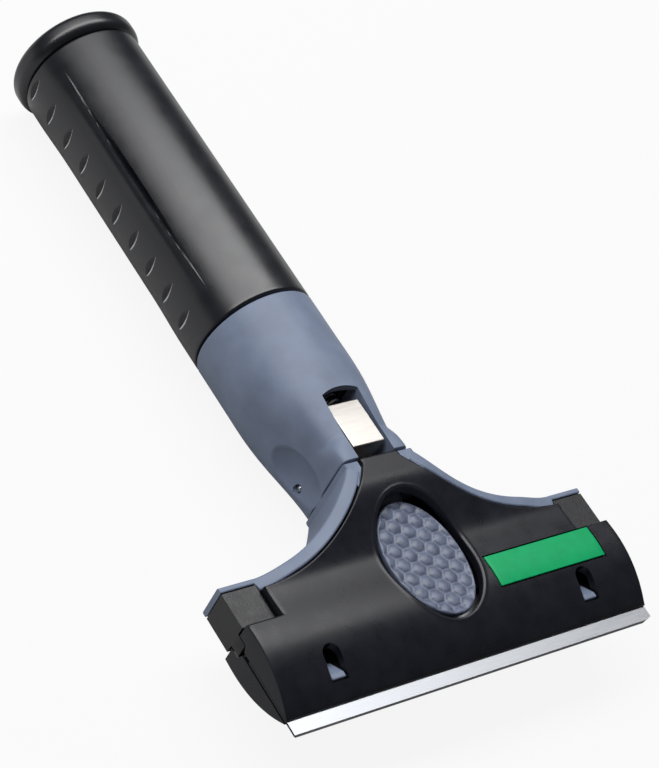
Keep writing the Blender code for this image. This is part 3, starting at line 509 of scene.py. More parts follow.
def grip_surface():
    """Rows round the grip: the outside end to end with a round at each edge, then the bore.

    With each point comes the share of painted highlight there.
    """
    stations = dense(
        grip_start + grip_round, grip_end - grip_round, coarse=0.0006,
        places=notch_station + notch_pitch * np.arange(notch_count), reach=0.0013, fine=0.00014,
    )
    turns = np.unique(np.concatenate([
        dense(0.0, math.pi, coarse=0.055, places=[notch_turn], reach=0.26, fine=0.0125),
        dense(0.0, math.pi, coarse=0.5, places=[crease_turn], reach=0.07, fine=0.0055),
    ]))
    turns = np.concatenate([turns[:-1], [math.pi], -turns[1:-1][::-1]])
    inward, fall = quarter_round(grip_round, 6)[:-1].T
    start = grip_start + inward
    outer_stations = np.concatenate([start, stations, (grip_start + grip_end - start)[::-1]])
    outer_fall = np.concatenate([fall, 0 * stations, fall[::-1]])
    outer_reach = grip_radius_at(turns[None, :], outer_stations[:, None]) - outer_fall[:, None]
    bore = np.array([
        (grip_end, core_radius), (grip_end - grip_land, core_radius),
        (grip_end - grip_land, grip_hollow_radius), (grip_start + grip_land, grip_hollow_radius),
        (grip_start + grip_land, core_radius), (grip_start, core_radius),
    ])
    reach = np.vstack([outer_reach, bore[:, 1:] + 0 * turns])
    station = np.concatenate([outer_stations, bore[:, 0]])[:, None] + 0 * reach
    painted_highlight = painted_highlight_share(turns[None, :], station)
    painted_highlight[len(outer_stations):] = 0
    return np.stack([reach * np.sin(turns), station, reach * np.cos(turns)], axis=-1), painted_highlight


# Firm synthetic rubber out of a fine-blasted mould: deep black with a broad soft sheen. On the outer
# part of each notch's head-side wall a pale grey is laid over it, a painted highlight.
rubber = clouded(
    "firm_rubber_moulded", cloud=(0.005, 3.0), colours=("#101117", "#16171E"),
    roughness=(0.28, 0.35), pits=0.00035, depth=0.000012, Specular_IOR_Level=0.6,
)
# Painted highlight: a pale grey streak laid over each notch's head-side wall.
painted_highlight_places = add_node(rubber, "ShaderNodeAttribute", {"attribute_name": "painted_highlight"})
lay_over(rubber, painted_highlight_places.outputs["Fac"], "#D2D2D0")
grip_points, grip_painted_highlight = grip_surface()
grip_mesh = grid_mesh("grip", grip_points, ring=True, seat=handle_seat)
grip_mesh.attributes.new("painted_highlight", "FLOAT", "POINT").data.foreach_set("value", grip_painted_highlight.ravel())
grip = keep_mesh("grip", grip_mesh, rubber, "handle")
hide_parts("grip_sleeve")


# -----
# End collar: the thick ring at the handle's end that keeps the hand from slipping off, moulded in
# the grip's rubber and pushed over the core.

collar_start = 0.1778
collar_end = 0.1835
collar_radius = 0.0159
collar_front_round = 0.0024
collar_back_round = 0.0018
collar_inner_round = 0.0005


def collar_rows():
    """A ring's section, rounds of three sizes and lines between, carried round the handle's axis."""
    front, back, inner = collar_front_round, collar_back_round, collar_inner_round
    bore = core_radius + inner
    quarter = math.pi / 2
    section = np.vstack([
        arc_points((collar_start + inner, bore), inner, 3 * quarter, 2 * quarter, 4),
        arc_points((collar_start + front, collar_radius - front), front, 2 * quarter, quarter, 10),
        arc_points((collar_end - back, collar_radius - back), back, quarter, 0, 10),
        arc_points((collar_end - inner, bore), inner, 0, -quarter, 4),
    ])
    turns = loop_turns(200)
    station, radius = section[:, :1], section[:, 1:]
    return np.stack([radius * np.sin(turns), station + 0 * turns, radius * np.cos(turns)], axis=-1)


collar = keep("collar", collar_rows(), rubber, "handle", ring=True, seat=handle_seat)
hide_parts("end_collar")


# -----
# Head frame: the stiff plate between the covers, with a tongue into the neck and a tab at each
# corner of the head. Glass-filled nylon, injection moulded, its edges slightly broken.

edge_break = 0.00018
solid_merge_reach = 1e-6
flat_angle = math.radians(1.0)


def merged_copy(node, material, body):
    """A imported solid's shape as one merged mesh, with its flat faces made whole."""
    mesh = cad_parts[node].data.copy()
    mesh.materials.clear()
    builder = bmesh.new()
    builder.from_mesh(mesh)
    bmesh.ops.remove_doubles(builder, verts=builder.verts, dist=solid_merge_reach)
    bmesh.ops.dissolve_limit(
        builder, angle_limit=flat_angle, verts=builder.verts, edges=builder.edges
    )
    builder.to_mesh(mesh)
    builder.free()
    piece = keep_mesh(node + "_whole", mesh, material, body)
    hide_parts(node)
    return piece


def break_edges(piece, width, least_bend=40.0):
    """Bevels a piece's edges that bend by more than an angle in degrees."""
    bevel = piece.modifiers.new("broken_edges", "BEVEL")
    bevel.width = width
    bevel.segments = 2
    bevel.limit_method = "ANGLE"
    bevel.angle_limit = math.radians(least_bend)


frame_plate = merged_copy("head_frame", frame_nylon, "handle")
break_edges(frame_plate, edge_break)


# -----
# Rim: the blue-grey band round the head's upper edge, from tab to tab, which also closes the head
# under the neck. Moulded in the neck's elastomer over the frame, with rounded edges.

shell_half_length = 0.05015
neck_half_width = 0.0411
slit_width = 0.0005
shoulder_station = 0.0236
tab_station = 0.0342
tab_rim_width = 0.0013
tab_rim_height = 0.0043
tab_end_step = 0.0003
arc_side = 0.0420
arc_radius = 0.0416
arc_steps = 72
rim_width = 0.0033
rim_drop = 0.0003
rim_fall = 0.0020
rim_blend_share = 0.25
rim_round = 0.0005
round_share = 0.3
fit_gap = 0.0003
apex_half_width = 0.0051
apex_skirt = 0.0075
apex_skirt_station = 0.0434
bridge_height = 0.0105
web_low = -0.0072
web_high = -0.0049
lip_station = 0.0036
crest_station = 0.0198
crest_height = 0.00645
crest_radius = 0.0260
valley_depth = 0.0005
swell_start = 0.0290
swell_end = 0.0465
swell_height = 0.0111


def shell_height(station):
    """Height of a cover's face: an arc from the lip to the crest, a shallow valley, then a swell."""
    reach = crest_station - np.minimum(station, crest_station)
    arc = crest_height - crest_radius + np.sqrt(crest_radius ** 2 - reach ** 2)
    fall = valley_depth * smooth_step((station - crest_station) / (swell_start - crest_station))
    low = crest_height - fall
    rise = smooth_step((station - swell_start) / (swell_end - swell_start))
    return np.where(station <= crest_station, arc, low + (swell_height - low) * rise)


def arc_angle(radius, half_width):
    """Angle of a point on the rim's arc, counted from its lowest point, at a half width."""
    return math.asin((arc_side - half_width) / radius)


def on_arc(radius, turn):
    """Points at a radius about the centre of the rim's arc."""
    centre = tab_station + arc_radius
    return np.stack([arc_side - radius * np.sin(turn), centre - radius * np.cos(turn)], -1)


def at_station(x, station):
    """Points with these x at one station."""
    return np.stack([x, 0 * x + station], -1)


def rim_half():
    """Inner and outer edge points and heights of the rim's right half, from the tab to the middle.

    Along the arc both edges turn about one centre. The heights follow the covers' face, less a
    small drop, and blend from the tab's height over the arc's first quarter.
    """
    inner_radius = arc_radius + rim_width - fit_gap
    turn = np.linspace(arc_angle(inner_radius, neck_half_width),
                       arc_angle(arc_radius, foot_half_width), arc_steps)
    inner = on_arc(inner_radius, turn)
    share = smooth_step((turn - turn[0]) / (turn[-1] - turn[0]) / rim_blend_share)
    tab_x = np.array([
        shell_half_length, shell_half_length - tab_end_step, neck_half_width + slit_width,
    ])
    heights = []
    for fall in (0.0, rim_fall):
        face = shell_height(np.minimum(inner[:, 1] - fall, swell_end)) - rim_drop
        rise = (face - tab_rim_height) * share
        heights.append(tab_rim_height + np.concatenate([0 * tab_x, rise]))
    inner = np.vstack([at_station(tab_x, tab_station - tab_rim_width), inner])
    outer = np.vstack([at_station(tab_x, tab_station), on_arc(arc_radius, turn)])
    return inner, outer, *heights


def section_loop(inner, outer, inner_top, outer_top, inner_low, outer_low):
    """Loops round four corners in the plane of the rim's width and height, each corner rounded.

    A corner's round is a quarter circle whose centre lies one radius in from both edges.
    """
    rows = []
    across = outer - inner
    width = np.linalg.norm(across, axis=1, keepdims=True)
    unit = across / width
    most = round_share * np.minimum(width[:, 0], inner_top - inner_low)
    size = np.minimum(rim_round, most)[:, None]
    corners = (
        (size, inner_top, math.pi), (width - size, outer_top, math.pi / 2),
        (width - size, outer_low, 0), (size, inner_low, -math.pi / 2),
    )
    for middle, height, start in corners:
        turns = np.linspace(start, start - math.pi / 2, 6)
        inward = np.where(height > 0.5 * (inner_top + inner_low), -1, 1)[:, None] * size
        reach = middle + size * np.cos(turns)
        z = height[:, None] + inward + size * np.sin(turns)
        flat = inner[:, None, :] + unit[:, None, :] * reach[:, :, None]
        rows.append(np.concatenate([flat, z[:, :, None]], axis=2))
    return np.concatenate(rows, axis=1)


def rim_rows():
    """The rim's sections from its right tab to its left tab, mirrored about the middle.

    After the arc come the bridge beside the neck, the part under the covers' apex, and a low web
    behind the window.
    """
    inner, outer, high, low = rim_half()
    x, top, bottom = np.array([
        (foot_half_width, bridge_height, -bridge_height),
        (apex_half_width + 2 * fit_gap, bridge_height, -bridge_height),
        (apex_half_width + fit_gap, apex_skirt - fit_gap, web_low),
        (window_half_width + fit_gap / 10, apex_skirt - fit_gap, web_low),
        (window_half_width, web_high, web_low),
    ]).T
    rows = section_loop(
        np.vstack([inner, at_station(x, apex_skirt_station + fit_gap)]),
        np.vstack([outer, at_station(x, neck_foot - fit_gap)]),
        np.concatenate([high, top]), np.concatenate([low, top]),
        np.concatenate([-high, bottom]), np.concatenate([-low, bottom]),
    )
    return np.vstack([rows, rows[::-1] * (-1, 1, 1)])


rim = keep("rim", rim_rows(), grey, "handle")
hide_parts("head_rim")


# -----
# Back cover: the black shell behind the blade, screwed to the frame. It has the front cover's
# outline and section, and four round screw seats.

shell_wall = 0.0020
shell_round = 0.00045
apex_station = 0.0513
shell_under = 0.00055
skirt_under = 0.0022
seam_station = 0.0210
hub_station = 0.0200
screw_places = [(-0.0365, 0.0276), (0.0365, 0.0276), (-0.0170, 0.0330), (0.0170, 0.0330)]
screw_head_radius = 0.0024
screw_seat_depth = 0.0008
screw_boss_radius = 0.0026
screw_shank_radius = 0.0012
outline_steps = (62, 26, 5, 10)
outline_arc_steps = 61
edge_least = 0.00005
cut_reach = 0.02


def outline_loop(inset):
    """A cover's outline drawn in by an inset, point for point the same at every inset.

    The right half runs up from the middle of the lip: along the lip, up the end, in along the
    shoulder, up beside the slit, along the arc about the rim's centre, and over the apex.
    """
    end = shell_half_length - inset
    side = neck_half_width - inset
    lip = lip_station + inset
    shoulder = shoulder_station - inset
    radius = arc_radius + rim_width + inset
    apex = apex_half_width - inset
    top = apex_station - inset
    arc = on_arc(radius, np.linspace(
        arc_angle(radius, side), arc_angle(radius, apex), outline_arc_steps
    ))
    corners = [(0.0, lip), (end, lip), (end, shoulder), (side, shoulder), tuple(arc[0])]
    points = []
    for first, second, count in zip(corners, corners[1:], outline_steps):
        share = np.arange(count)[:, None] / count
        points.append(np.array(first) * (1 - share) + np.array(second) * share)
    points.append(arc)
    points.append([(apex, arc[-1][1] * 0.5 + top * 0.5), (apex, top), (apex * 0.5, top), (0.0, top)])
    right = np.vstack(points)
    left = right[1:-1][::-1] * (-1, 1)
    return np.vstack([right, left])


def foot_height(station):
    """Height of a cover's lower edge: on the blade, then on the frame, then over the latch."""
    level = np.where(station < seam_station, shell_under, skirt_under)
    return np.where(station < apex_skirt_station, level, apex_skirt)


def on_shell(loop, drop=0.0, least=-math.inf):
    """A loop's points at a drop below a cover's face, but at no less than a height."""
    return np.column_stack([loop, np.maximum(shell_height(loop[:, 1]) - drop, least)])


def shell_rings(hub):
    """Rings of a cover: its face in from the rounded outline to the hub, and its inside back out.

    Between the outline and the hub, a loop or one point, points run along straight lines.
    The face stands at the shell's height, and the inside a wall below it, but never below the foot.
    """
    faces, insides = [], []
    for inset, fall in quarter_round(shell_round, 7):
        loop = outline_loop(inset)
        faces.append(on_shell(loop, fall, foot_height(loop[:, 1]) + edge_least))
    start = outline_loop(shell_round)
    for share in np.linspace(0, 1, 46)[1:]:
        faces.append(on_shell(start * (1 - share) + hub * share))
    start = outline_loop(shell_wall)
    for share in np.linspace(1, 0, 24):
        loop = start * (1 - share) + hub * share
        insides.append(on_shell(loop, shell_wall, foot_height(loop[:, 1])))
    for inset in (shell_wall, 0.0):
        loop = outline_loop(inset)
        insides.append(np.column_stack([loop, foot_height(loop[:, 1])]))
    return faces, insides


# Nylon out of a fine-blasted mould: near black with a cool, even satin sheen.
satin = clouded(
    "nylon_moulded_satin", cloud=(0.004, 3.0), colours=("#17181E", "#1D1E25"),
    roughness=(0.26, 0.33), Specular_IOR_Level=0.3,
)
back_faces, back_insides = shell_rings(np.array([0.0, hub_station]))
back_rings = np.array([*back_insides, *back_faces]) * (1, 1, -1)
back = keep("back_shell", back_rings, satin, "handle")
bosses = []
cuts = []
for place in screw_places:
    seat = float(shell_height(place[1] - screw_head_radius)) - screw_seat_depth
    boss = circle * screw_boss_radius + place
    bosses.append(prism("boss", boss, -seat - screw_seat_depth / 2, -skirt_under))
    cuts.append(prism("seat", circle * (screw_head_radius + fit_gap) + place, -cut_reach, -seat))
    cuts.append(prism("way", circle * (screw_shank_radius + fit_gap) + place, -cut_reach, 0.0))
shape_with(back, "UNION", bosses)
shape_with(back, "DIFFERENCE", cuts)
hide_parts("back_cover")


# -----
# Back screws: four small socket screws, cold formed in steel and zinc plated.

screw_head_height = 0.0012
screw_end_height = 0.0008
screw_chamfer = 0.00035
socket_flat = 0.0009
socket_depth = 0.0007
screw_sides = 72


def screw_rows(seat):
    """Rows of circles for the head and shank, and of hexagons for the socket.

    A hexagon's reach at an angle is its flat over the cosine of the angle from the nearest flat.
    """
    turns = loop_turns(screw_sides)
    hexagon = socket_flat / np.cos((turns + math.pi / 6) % (math.pi / 3) - math.pi / 6)
    top = seat - screw_head_height
    socket_floor = top + socket_depth
    rows = [(0.0, socket_floor), (hexagon, socket_floor), (hexagon, top)]
    for fall, inset in quarter_round(screw_chamfer, 5):
        rows.append((screw_head_radius - inset, top + fall))
    rows += [(screw_head_radius, seat), (screw_shank_radius, seat),
             (screw_shank_radius, -screw_end_height), (0.0, -screw_end_height)]
    return np.array([
        np.stack([reach * np.cos(turns), reach * np.sin(turns), 0 * turns + z], -1)
        for reach, z in rows
    ])


for word, (x, station) in zip(("low_left", "low_right", "high_left", "high_right"), screw_places):
    seat = screw_seat_depth - float(shell_height(station - screw_head_radius)) - fit_gap
    screw = keep("screw_" + word, screw_rows(seat) + (x, station, 0), zinc, "handle")
    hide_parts("back_screw_" + word)


# -----
# Blade: a strip of hardened carbon steel, rolled, cut to length, and ground to an edge along its
# front. It drops over the frame's two hooks.

blade_half_length = 0.0500
blade_width = 0.0185
blade_thickness = 0.0005
ground_width = 0.0004
ground_thickness = 0.0001
corner_cut_length = 0.0030
corner_cut_rise = 0.0009
painted_shade_depth = 0.00004


# Carbon steel, cold rolled and oiled: bright grey with very fine lines along the strip. The two sheared
# end faces are laid over in dark grey, a painted shade.
blade_steel = clouded(
    "carbon_steel_rolled_and_ground", cloud=(0.0003, 3.0, (40.0, 1.0, 1.0)),
    colours=("#A3A6AB", "#ADAFB3"), roughness=(0.36, 0.42), depth=0.000001, Metallic=1.0,
)
# Painted shade: the blade's two end faces are laid over in dark grey.
spot = add_node(blade_steel, "ShaderNodeTexCoord")
parts = add_node(blade_steel, "ShaderNodeSeparateXYZ", inputs={"Vector": spot.outputs["Object"]})
aside = add_node(blade_steel, "ShaderNodeMath", {"operation": "ABSOLUTE"}, {0: parts.outputs["X"]})
painted_shade_ends = add_node(blade_steel, "ShaderNodeMath", {"operation": "GREATER_THAN"}, {
    0: aside.outputs["Value"], 1: blade_half_length - painted_shade_depth,
})
lay_over(blade_steel, painted_shade_ends.outputs["Value"], "#3C3D40")

blade_section = np.array([
    (0.0, -ground_thickness / 2), (ground_width, -blade_thickness / 2),
    (blade_width, -blade_thickness / 2), (blade_width, blade_thickness / 2),
    (ground_width, blade_thickness / 2), (0.0, ground_thickness / 2),
])
blade_rows = carried(blade_section, -blade_half_length, blade_half_length)
blade = keep("blade_strip", blade_rows, blade_steel, "handle")
openings = [prism("corner", [
    (blade_half_length - 2 * corner_cut_length, -corner_cut_rise),
    (blade_half_length + corner_cut_length, -corner_cut_rise),
    (blade_half_length + corner_cut_length, 2 * corner_cut_rise),
], -overrun, overrun)]
for side in ("left", "right"):
    hook_low, hook_high = (np.array(corner) - head_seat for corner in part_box("blade_hook_" + side))
    (low_x, low_y), (high_x, high_y) = hook_low[:2] - fit_gap, hook_high[:2] + fit_gap
    around = [(low_x, low_y), (high_x, low_y), (high_x, high_y), (low_x, high_y)]
    openings.append(prism("hole", around, -overrun, overrun))
shape_with(blade, "DIFFERENCE", openings)
blade.data.shade_flat()
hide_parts("blade")


# -----
# Blade hooks: two blunt hooks that stand in the frame's bed, pass through the blade's holes and
# show in the front cover's slots. Moulded in the rim's elastomer over a stiff root.

hook_break = 0.0003
for side in ("left", "right"):
    hook = merged_copy("blade_hook_" + side, grey, "handle")
    break_edges(hook, hook_break)


# -----
# Front cover: the black shell over the blade, which tips open on its lip. Satin nylon, moulded with
# an oval window, a faint bead about it, two arched slots and a shallow seat for the name plate.

oval_station = 0.0271
oval_half_width = 0.01125
oval_half_length = 0.01525
oval_round = 0.0003
bead_height = 0.00008
bead_offset = 0.0007
bead_width = 0.00032
bead_offsets = (
    0.0022, 0.0018, 0.0015, 0.00125, 0.00105, 0.0009, 0.0008, 0.0007, 0.0006, 0.0005, 0.0004,
)
face_offset = 0.0025
slot_side = 0.0352
slot_half_width = 0.0022
slot_station = 0.0073
slot_straight = 0.0052
plate_start = 0.0129
plate_end = 0.0435
plate_low = 0.0155
plate_high = 0.0231
plate_margin = 0.00035
plate_seat_depth = 0.0004
cut_top = 0.012


def oval_loop(offset):
    """The window's oval, grown by an offset: where rays from the hub to the outline meet it."""
    outline = outline_loop(0.0) - (0.0, hub_station)
    direction = outline / np.linalg.norm(outline, axis=1, keepdims=True)
    a, b = oval_half_width + offset, oval_half_length + offset
    rise = hub_station - oval_station
    first = (direction[:, 0] / a) ** 2 + (direction[:, 1] / b) ** 2
    second = direction[:, 1] * rise / b ** 2
    reach = (-second + np.sqrt(second ** 2 - first * (rise ** 2 / b ** 2 - 1))) / first
    return direction * reach[:, None] + (0.0, hub_station)


def window_rings():
    """Rings from the face into the window: a low round bead, then the edge's small round."""
    rings = []
    for offset in bead_offsets:
        bead = bead_height * math.exp(-((offset - bead_offset) / bead_width) ** 2)
        rings.append(on_shell(oval_loop(offset), -bead))
    for fall, offset in quarter_round(oval_round, 5):
        rings.append(on_shell(oval_loop(offset), fall))
    return rings


def slot_outline(side):
    """A slot from the front: square at the blade, round at its other end."""
    foot = [(-slot_half_width, 0.0), (slot_half_width, 0.0)]
    arch = arc_points((0.0, slot_straight), slot_half_width, 0, math.pi, 17)
    return np.vstack([foot, arch]) + (side * slot_side, slot_station)


def plate_seat_outline():
    """Side view of the name plate's seat: parallel to the face below, and open above."""
    station = np.linspace(plate_low - plate_margin, plate_high + plate_margin, 24)
    low = np.stack([station, shell_height(station) - plate_seat_depth], -1)
    return np.vstack([low, [(station[-1], cut_top), (station[0], cut_top)]])


front_faces, front_insides = shell_rings(oval_loop(face_offset))
window_edge = on_shell(oval_loop(0.0), shell_wall)
front_rings = np.array([*front_faces, *window_rings(), window_edge, *front_insides])
front = keep("front_shell", front_rings, satin, "front_cover", ring=True)
shape_with(front, "DIFFERENCE", [
    prism("slot_left", slot_outline(-1), 0.0, cut_top),
    prism("slot_right", slot_outline(1), 0.0, cut_top),
    prism("plate_seat", plate_seat_outline(), plate_start - plate_margin, plate_end + plate_margin, "x"),
])
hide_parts("front_cover")


# -----
# Name plate: a thin bare plate let into the front cover. Glossy green polypropylene with a rounded
# edge, bent to the cover's curve.

plate_proud = 0.00012
plate_thickness = 0.00045
plate_round = 0.00018


def plate_rows():
    """Side-view loops of the plate carried along it, drawn in at both ends by a quarter round."""
    rows = []
    draws, insets = quarter_round(plate_round, 5).T
    middle = np.linspace(plate_start + plate_round, plate_end - plate_round, 40)[1:-1]
    places = np.concatenate([(plate_start + insets)[::-1], middle, plate_end - insets])
    bend = np.linspace(0, math.pi / 2, 6)[1:]
    fall = plate_round * (1 - np.cos(bend))
    for x, draw in zip(places, np.concatenate([draws[::-1], 0 * middle, draws])):
        station = np.linspace(plate_low + draw + plate_round, plate_high - draw - plate_round, 40)
        top = np.stack([station, shell_height(station) + plate_proud - draw], -1)
        bottom = top - (0, plate_thickness - 1.5 * draw)
        far = np.stack([station[-1] + plate_round * np.sin(bend), top[-1, 1] - fall], -1)
        near = np.stack([station[0] - plate_round * np.sin(bend), top[0, 1] - fall], -1)
        rows.append(np.insert(np.vstack([top, far, bottom[::-1], near[::-1]]), 0, x, axis=1))
    return np.array(rows)


# Polypropylene sheet, printed and lacquered: a clear green with a soft gloss.
green = clouded(
    "polypropylene_printed_gloss", cloud=(0.003, 3.0), colours=("#00985A", "#00A263"),
    roughness=(0.34, 0.42), pits=0.0006, depth=0.000008, Specular_IOR_Level=0.2,
)
plate = keep("name_plate", plate_rows(), green, "front_cover")
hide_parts("badge")


# -----
# Blade clamp: a strip, blanked and bent, under the front cover. It presses on the blade once the
# cover is shut.

# Spring steel, drawn or rolled and oiled: a dull grey with lines along the strip.
spring_steel = clouded(
    "spring_steel_oiled", cloud=(0.0004, 3.0, (12.0, 1.0, 1.0)), colours=("#7C7E81", "#96989B"),
    roughness=(0.30, 0.42), Metallic=1.0,
)
dress("blade_clamp", spring_steel)


# -----
# Release button: the oval pad in the cover's window, pressed to free the cover. Moulded in the soft
# elastomer with a honeycomb of low domes, on a stem and a wedge that drives the latch.

pad_half_width = 0.00985
pad_half_length = 0.0145
pad_height = 0.0061
pad_crown = 0.0006
pad_rise = 0.0010
pad_thickness = 0.0023
pad_round = 0.0006
cell_pitch = 0.0036
cell_height = 0.00042
cell_wall_share = 0.34
cell_fall = 0.85
cell_fade = 0.08
pad_columns = 420
pad_rings = 92
wedge_half_width = 0.0035
wedge_length = 0.0028
wedge_inset = 0.0005
latch_ratio = 1.25
stem_radius = 0.0020
stem_length = 0.0046


def cell_share(x, y):
    """1 in the middle of each honeycomb cell, down to 0 on the walls between.

    The cells' centres lie on two rectangular lattices, one half a step off the other. A point
    belongs to the nearer centre. The share falls with the square of its distance from there, as on
    a round dome. It fades out in a margin along the walls, where the largest of the distances
    along the hexagon's three normals nears the half pitch.
    """
    column = cell_pitch * math.sqrt(3)
    offsets = []
    for shift in (0.0, 0.5):
        u = x - column * (np.round(x / column - shift) + shift)
        v = y - cell_pitch * (np.round(y / cell_pitch - shift) + shift)
        offsets.append((u, v))
    first, second = (u ** 2 + v ** 2 for u, v in offsets)
    u, v = (np.where(first < second, a, b) for a, b in zip(*offsets))
    slant = 0.5 * np.abs(v) + math.sqrt(0.75) * np.abs(u)
    place = np.maximum(np.abs(v), slant) / (cell_pitch / 2)
    spread = np.hypot(u, v) / (cell_pitch / 2)
    dome = np.clip(1 - spread ** 2 * cell_fall, 0, 1)
    return dome * (1 - smooth_step((place - 1 + cell_wall_share) / cell_wall_share))


def pad_rows():
    """Rings of the pad: out over its base, up a rounded edge, and in over the domed face."""
    turns = loop_turns(pad_columns)

    def ring(draw, scale, height):
        x = (pad_half_width - draw) * scale * np.cos(turns)
        y = (pad_half_length - draw) * scale * np.sin(turns)
        return np.stack([x, y + oval_station, height(y, x)], -1)

    def face(y, x):
        share = y / pad_half_length
        level = pad_height - pad_crown + pad_rise * share / 2 + pad_crown * share ** 2
        inward = 1 - np.sqrt((x / pad_half_width) ** 2 + share ** 2)
        return level + cell_height * (cell_share(x, y) - 1) * smooth_step(inward / cell_fade)

    rings = [
        ring(0, 0.0, lambda y, x: 0 * y + pad_base),
        ring(pad_round, 1.0, lambda y, x: 0 * y + pad_base),
        ring(0, 1.0, lambda y, x: 0 * y + pad_base + pad_round),
    ]
    for draw, fall in quarter_round(pad_round, 8):
        rings.append(ring(draw, 1.0, lambda y, x: face(y, x) - fall))
    for scale in np.linspace(1, 0, pad_rings)[1:]:
        rings.append(ring(pad_round, scale, face))
    return np.array(rings)


# A darker mix of the rim's elastomer, marbled, which sets the pad off from the rim.
marbled = clouded(
    "soft_elastomer_marbled", cloud=(0.0016, 4.0), colours=("#4D5467", "#687187"),
    roughness=(0.34, 0.46), pits=0.0004, depth=0.00003, Specular_IOR_Level=0.5,
)


pad_base = pad_height - pad_thickness
ramp_station = oval_station + pad_half_length - wedge_inset
wedge_end = ramp_station + wedge_length
wedge_top = pad_base + wedge_length / latch_ratio
wedge_outline = [
    (ramp_station - overrun, pad_base + fit_gap), (ramp_station, pad_base), (wedge_end, wedge_top),
    (wedge_end, wedge_top + fit_gap), (ramp_station, pad_base + 2 * fit_gap),
    (ramp_station - overrun, pad_base + 3 * fit_gap),
]
pad = keep("pad", pad_rows(), marbled, "release_button")
shape_with(pad, "UNION", [
    prism("wedge", wedge_outline, -wedge_half_width, wedge_half_width, "x"),
    prism("stem", circle * stem_radius + (0, oval_station),
          pad_base - stem_length, pad_height - pad_thickness / 2),
])
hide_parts("release_button")

coil = merged_copy("button_spring", spring_steel, "handle")
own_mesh(coil)


# -----
# Lock plate: one strip, blanked and bent, that shows in the neck's window and holds the cover shut
# until the button draws it back. A coil spring pushes it.

strip = 0.0008
latch_half_width = 0.0043
latch_top = 0.0106
latch_top_end = 0.0662
latch_tab_drop = 0.0064
latch_ramp_bend = 0.0016
latch_break = 0.00012
bend_round = 0.00035
bend_limit = 0.45


def rounded(corners, size, steps=5):
    """A closed outline with each corner replaced by a curve between its two neighbours.

    The curve is a quadratic one, from a point short of the corner to a point past it.
    """
    points = []
    for before, corner, after in zip(np.roll(corners, 1, 0), corners, np.roll(corners, -1, 0)):
        near, far = before - corner, after - corner
        reach = min(size, bend_limit * np.linalg.norm(near), bend_limit * np.linalg.norm(far))
        start = corner + near / np.linalg.norm(near) * reach
        end = corner + far / np.linalg.norm(far) * reach
        share = np.linspace(0, 1, steps)[:, None]
        points.append(start * (1 - share) ** 2 + 2 * corner * share * (1 - share) + end * share ** 2)
    return np.vstack(points)


def latch_outline():
    """Side view: a ramp under the button, a leg, the plate in the window, and the spring's tab."""
    ramp_top = pad_base - fit_gap * math.sqrt(1 + latch_ratio ** 2)
    ramp_end = ramp_station + (latch_floor - ramp_top) * latch_ratio
    leg_under = latch_floor - strip
    top_under = latch_top - strip
    tab_end = top_under - latch_tab_drop
    return np.array([
        (ramp_station, ramp_top - strip / 2), (ramp_station, ramp_top),
        (ramp_end, latch_floor), (latch_bend, latch_floor),
        (latch_bend, latch_top), (latch_top_end, latch_top), (latch_top_end, tab_end),
        (latch_top_end - strip, tab_end), (latch_top_end - strip, top_under),
        (latch_bend + strip, top_under), (latch_bend + strip, leg_under), (ramp_end, leg_under),
        (ramp_station + latch_ramp_bend, leg_under - strip),
    ])


# Stainless steel, polished: bright and slightly warm, with faint lines across the strip that blur
# what it mirrors.
stainless = clouded(
    "stainless_steel_polished", cloud=(0.00035, 3.0, (25.0, 1.0, 1.0)),
    colours=("#AFABA7", "#BFBBB6"), roughness=(0.34, 0.42), depth=0.000004, Metallic=1.0,
)
latch_rows = carried(rounded(latch_outline(), bend_round), -latch_half_width, latch_half_width)
latch = keep("latch", latch_rows, stainless, "lock_plate")
break_edges(latch, latch_break, least_bend=60.0)
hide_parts("lock_plate")

coil = merged_copy("latch_spring", spring_steel, "handle")
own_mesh(coil)


# -----
# The studio: a pale floor, faint white light all round, one long softbox overhead and a little
# behind, and the photograph's camera.

floor_height = solids_box[0][2] - 0.0002
floor_reach = 3.0
glow_share = 0.90


def by_camera(material, others, camera):
    """One number for all rays of light, and another for what the camera sees directly."""
    path = add_node(material, "ShaderNodeLightPath")
    return add_node(material, "ShaderNodeMapRange", inputs={
        "Value": path.outputs["Is Camera Ray"], "To Min": others, "To Max": camera,
    }).outputs["Result"]


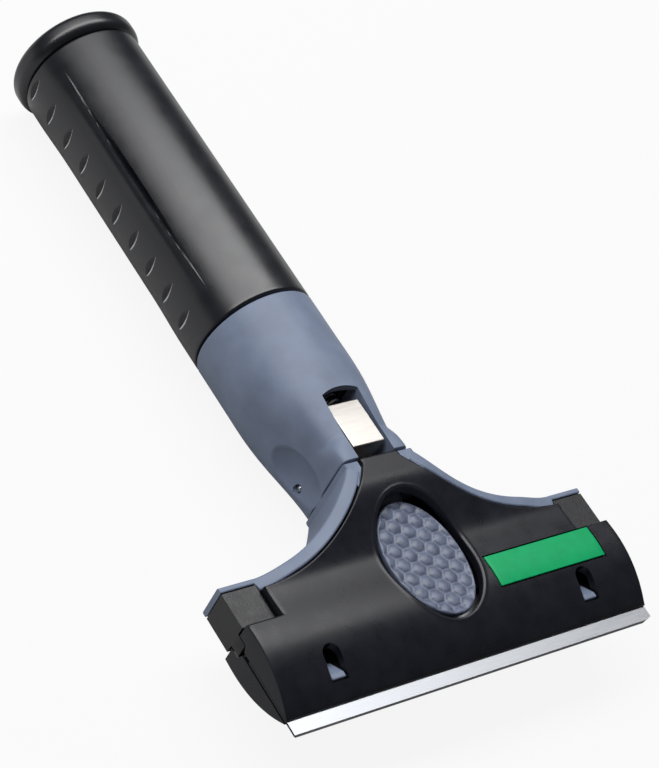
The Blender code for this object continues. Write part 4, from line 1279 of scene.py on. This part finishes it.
# Matt white paper: the camera sees it glow, so that it is plain white but for a faint shadow.
floor_look = new_material("white_paper", Roughness=0.9, Base_Color=colour("#BEBEBE"))
paper = floor_look.node_tree.nodes["Principled BSDF"]
glow = add_node(floor_look, "ShaderNodeEmission", inputs={"Color": colour("#FFFFFF"), "Strength": 1.0})
seen = add_node(floor_look, "ShaderNodeMixShader", inputs={
    0: by_camera(floor_look, 0.0, glow_share), 1: paper.outputs["BSDF"], 2: glow.outputs["Emission"],
})
floor_output = floor_look.node_tree.nodes["Material Output"]
floor_look.node_tree.links.new(seen.outputs["Shader"], floor_output.inputs["Surface"])

floor_mesh = bpy.data.meshes.new("floor")
floor_corners = rectangle(floor_reach, -floor_reach, floor_reach)
floor_mesh.from_pydata([(x, y, floor_height) for x, y in floor_corners], [], [(0, 1, 2, 3)])
floor_mesh.materials.append(floor_look)
floor = bpy.data.objects.new("floor", floor_mesh)
show(floor)

world = bpy.data.worlds.new("studio")
bpy.context.scene.world = world
world.use_nodes = True
background = world.node_tree.nodes["Background"]
background.inputs["Color"].default_value = colour("#FFFFFF")
world.node_tree.links.new(by_camera(world, 0.08, 1.0), background.inputs["Strength"])

softbox = bpy.data.lights.new("overhead", "AREA")
softbox.shape = "RECTANGLE"
softbox.size = 1.6
softbox.size_y = 0.46
softbox.energy = 15.0
overhead = bpy.data.objects.new("overhead", softbox)
overhead.location = (-0.15, 0.30, 0.80)
show(overhead)

camera_place = (-0.352815, -0.295171, 0.400850)
camera_right = (0.7728860718, -0.5045638541, 0.3847888215)
camera_up = (0.1773824517, 0.7540238975, 0.6324424305)
camera_back = (-0.6092475571, -0.4205511612, 0.6722753416)
camera_focal = 2681.905808
image_height = 768
sensor_height = 24.0
camera_data = bpy.data.cameras.new("camera")
camera_data.sensor_fit = "VERTICAL"
camera_data.sensor_height = sensor_height
camera_data.lens = camera_focal / image_height * sensor_height
camera = bpy.data.objects.new("camera", camera_data)
turned = Matrix((camera_right, camera_up, camera_back)).transposed().to_4x4()
camera.matrix_world = Matrix.Translation(camera_place) @ turned
show(camera)
bpy.context.scene.camera = camera
bpy.context.scene.view_settings.view_transform = "Standard"
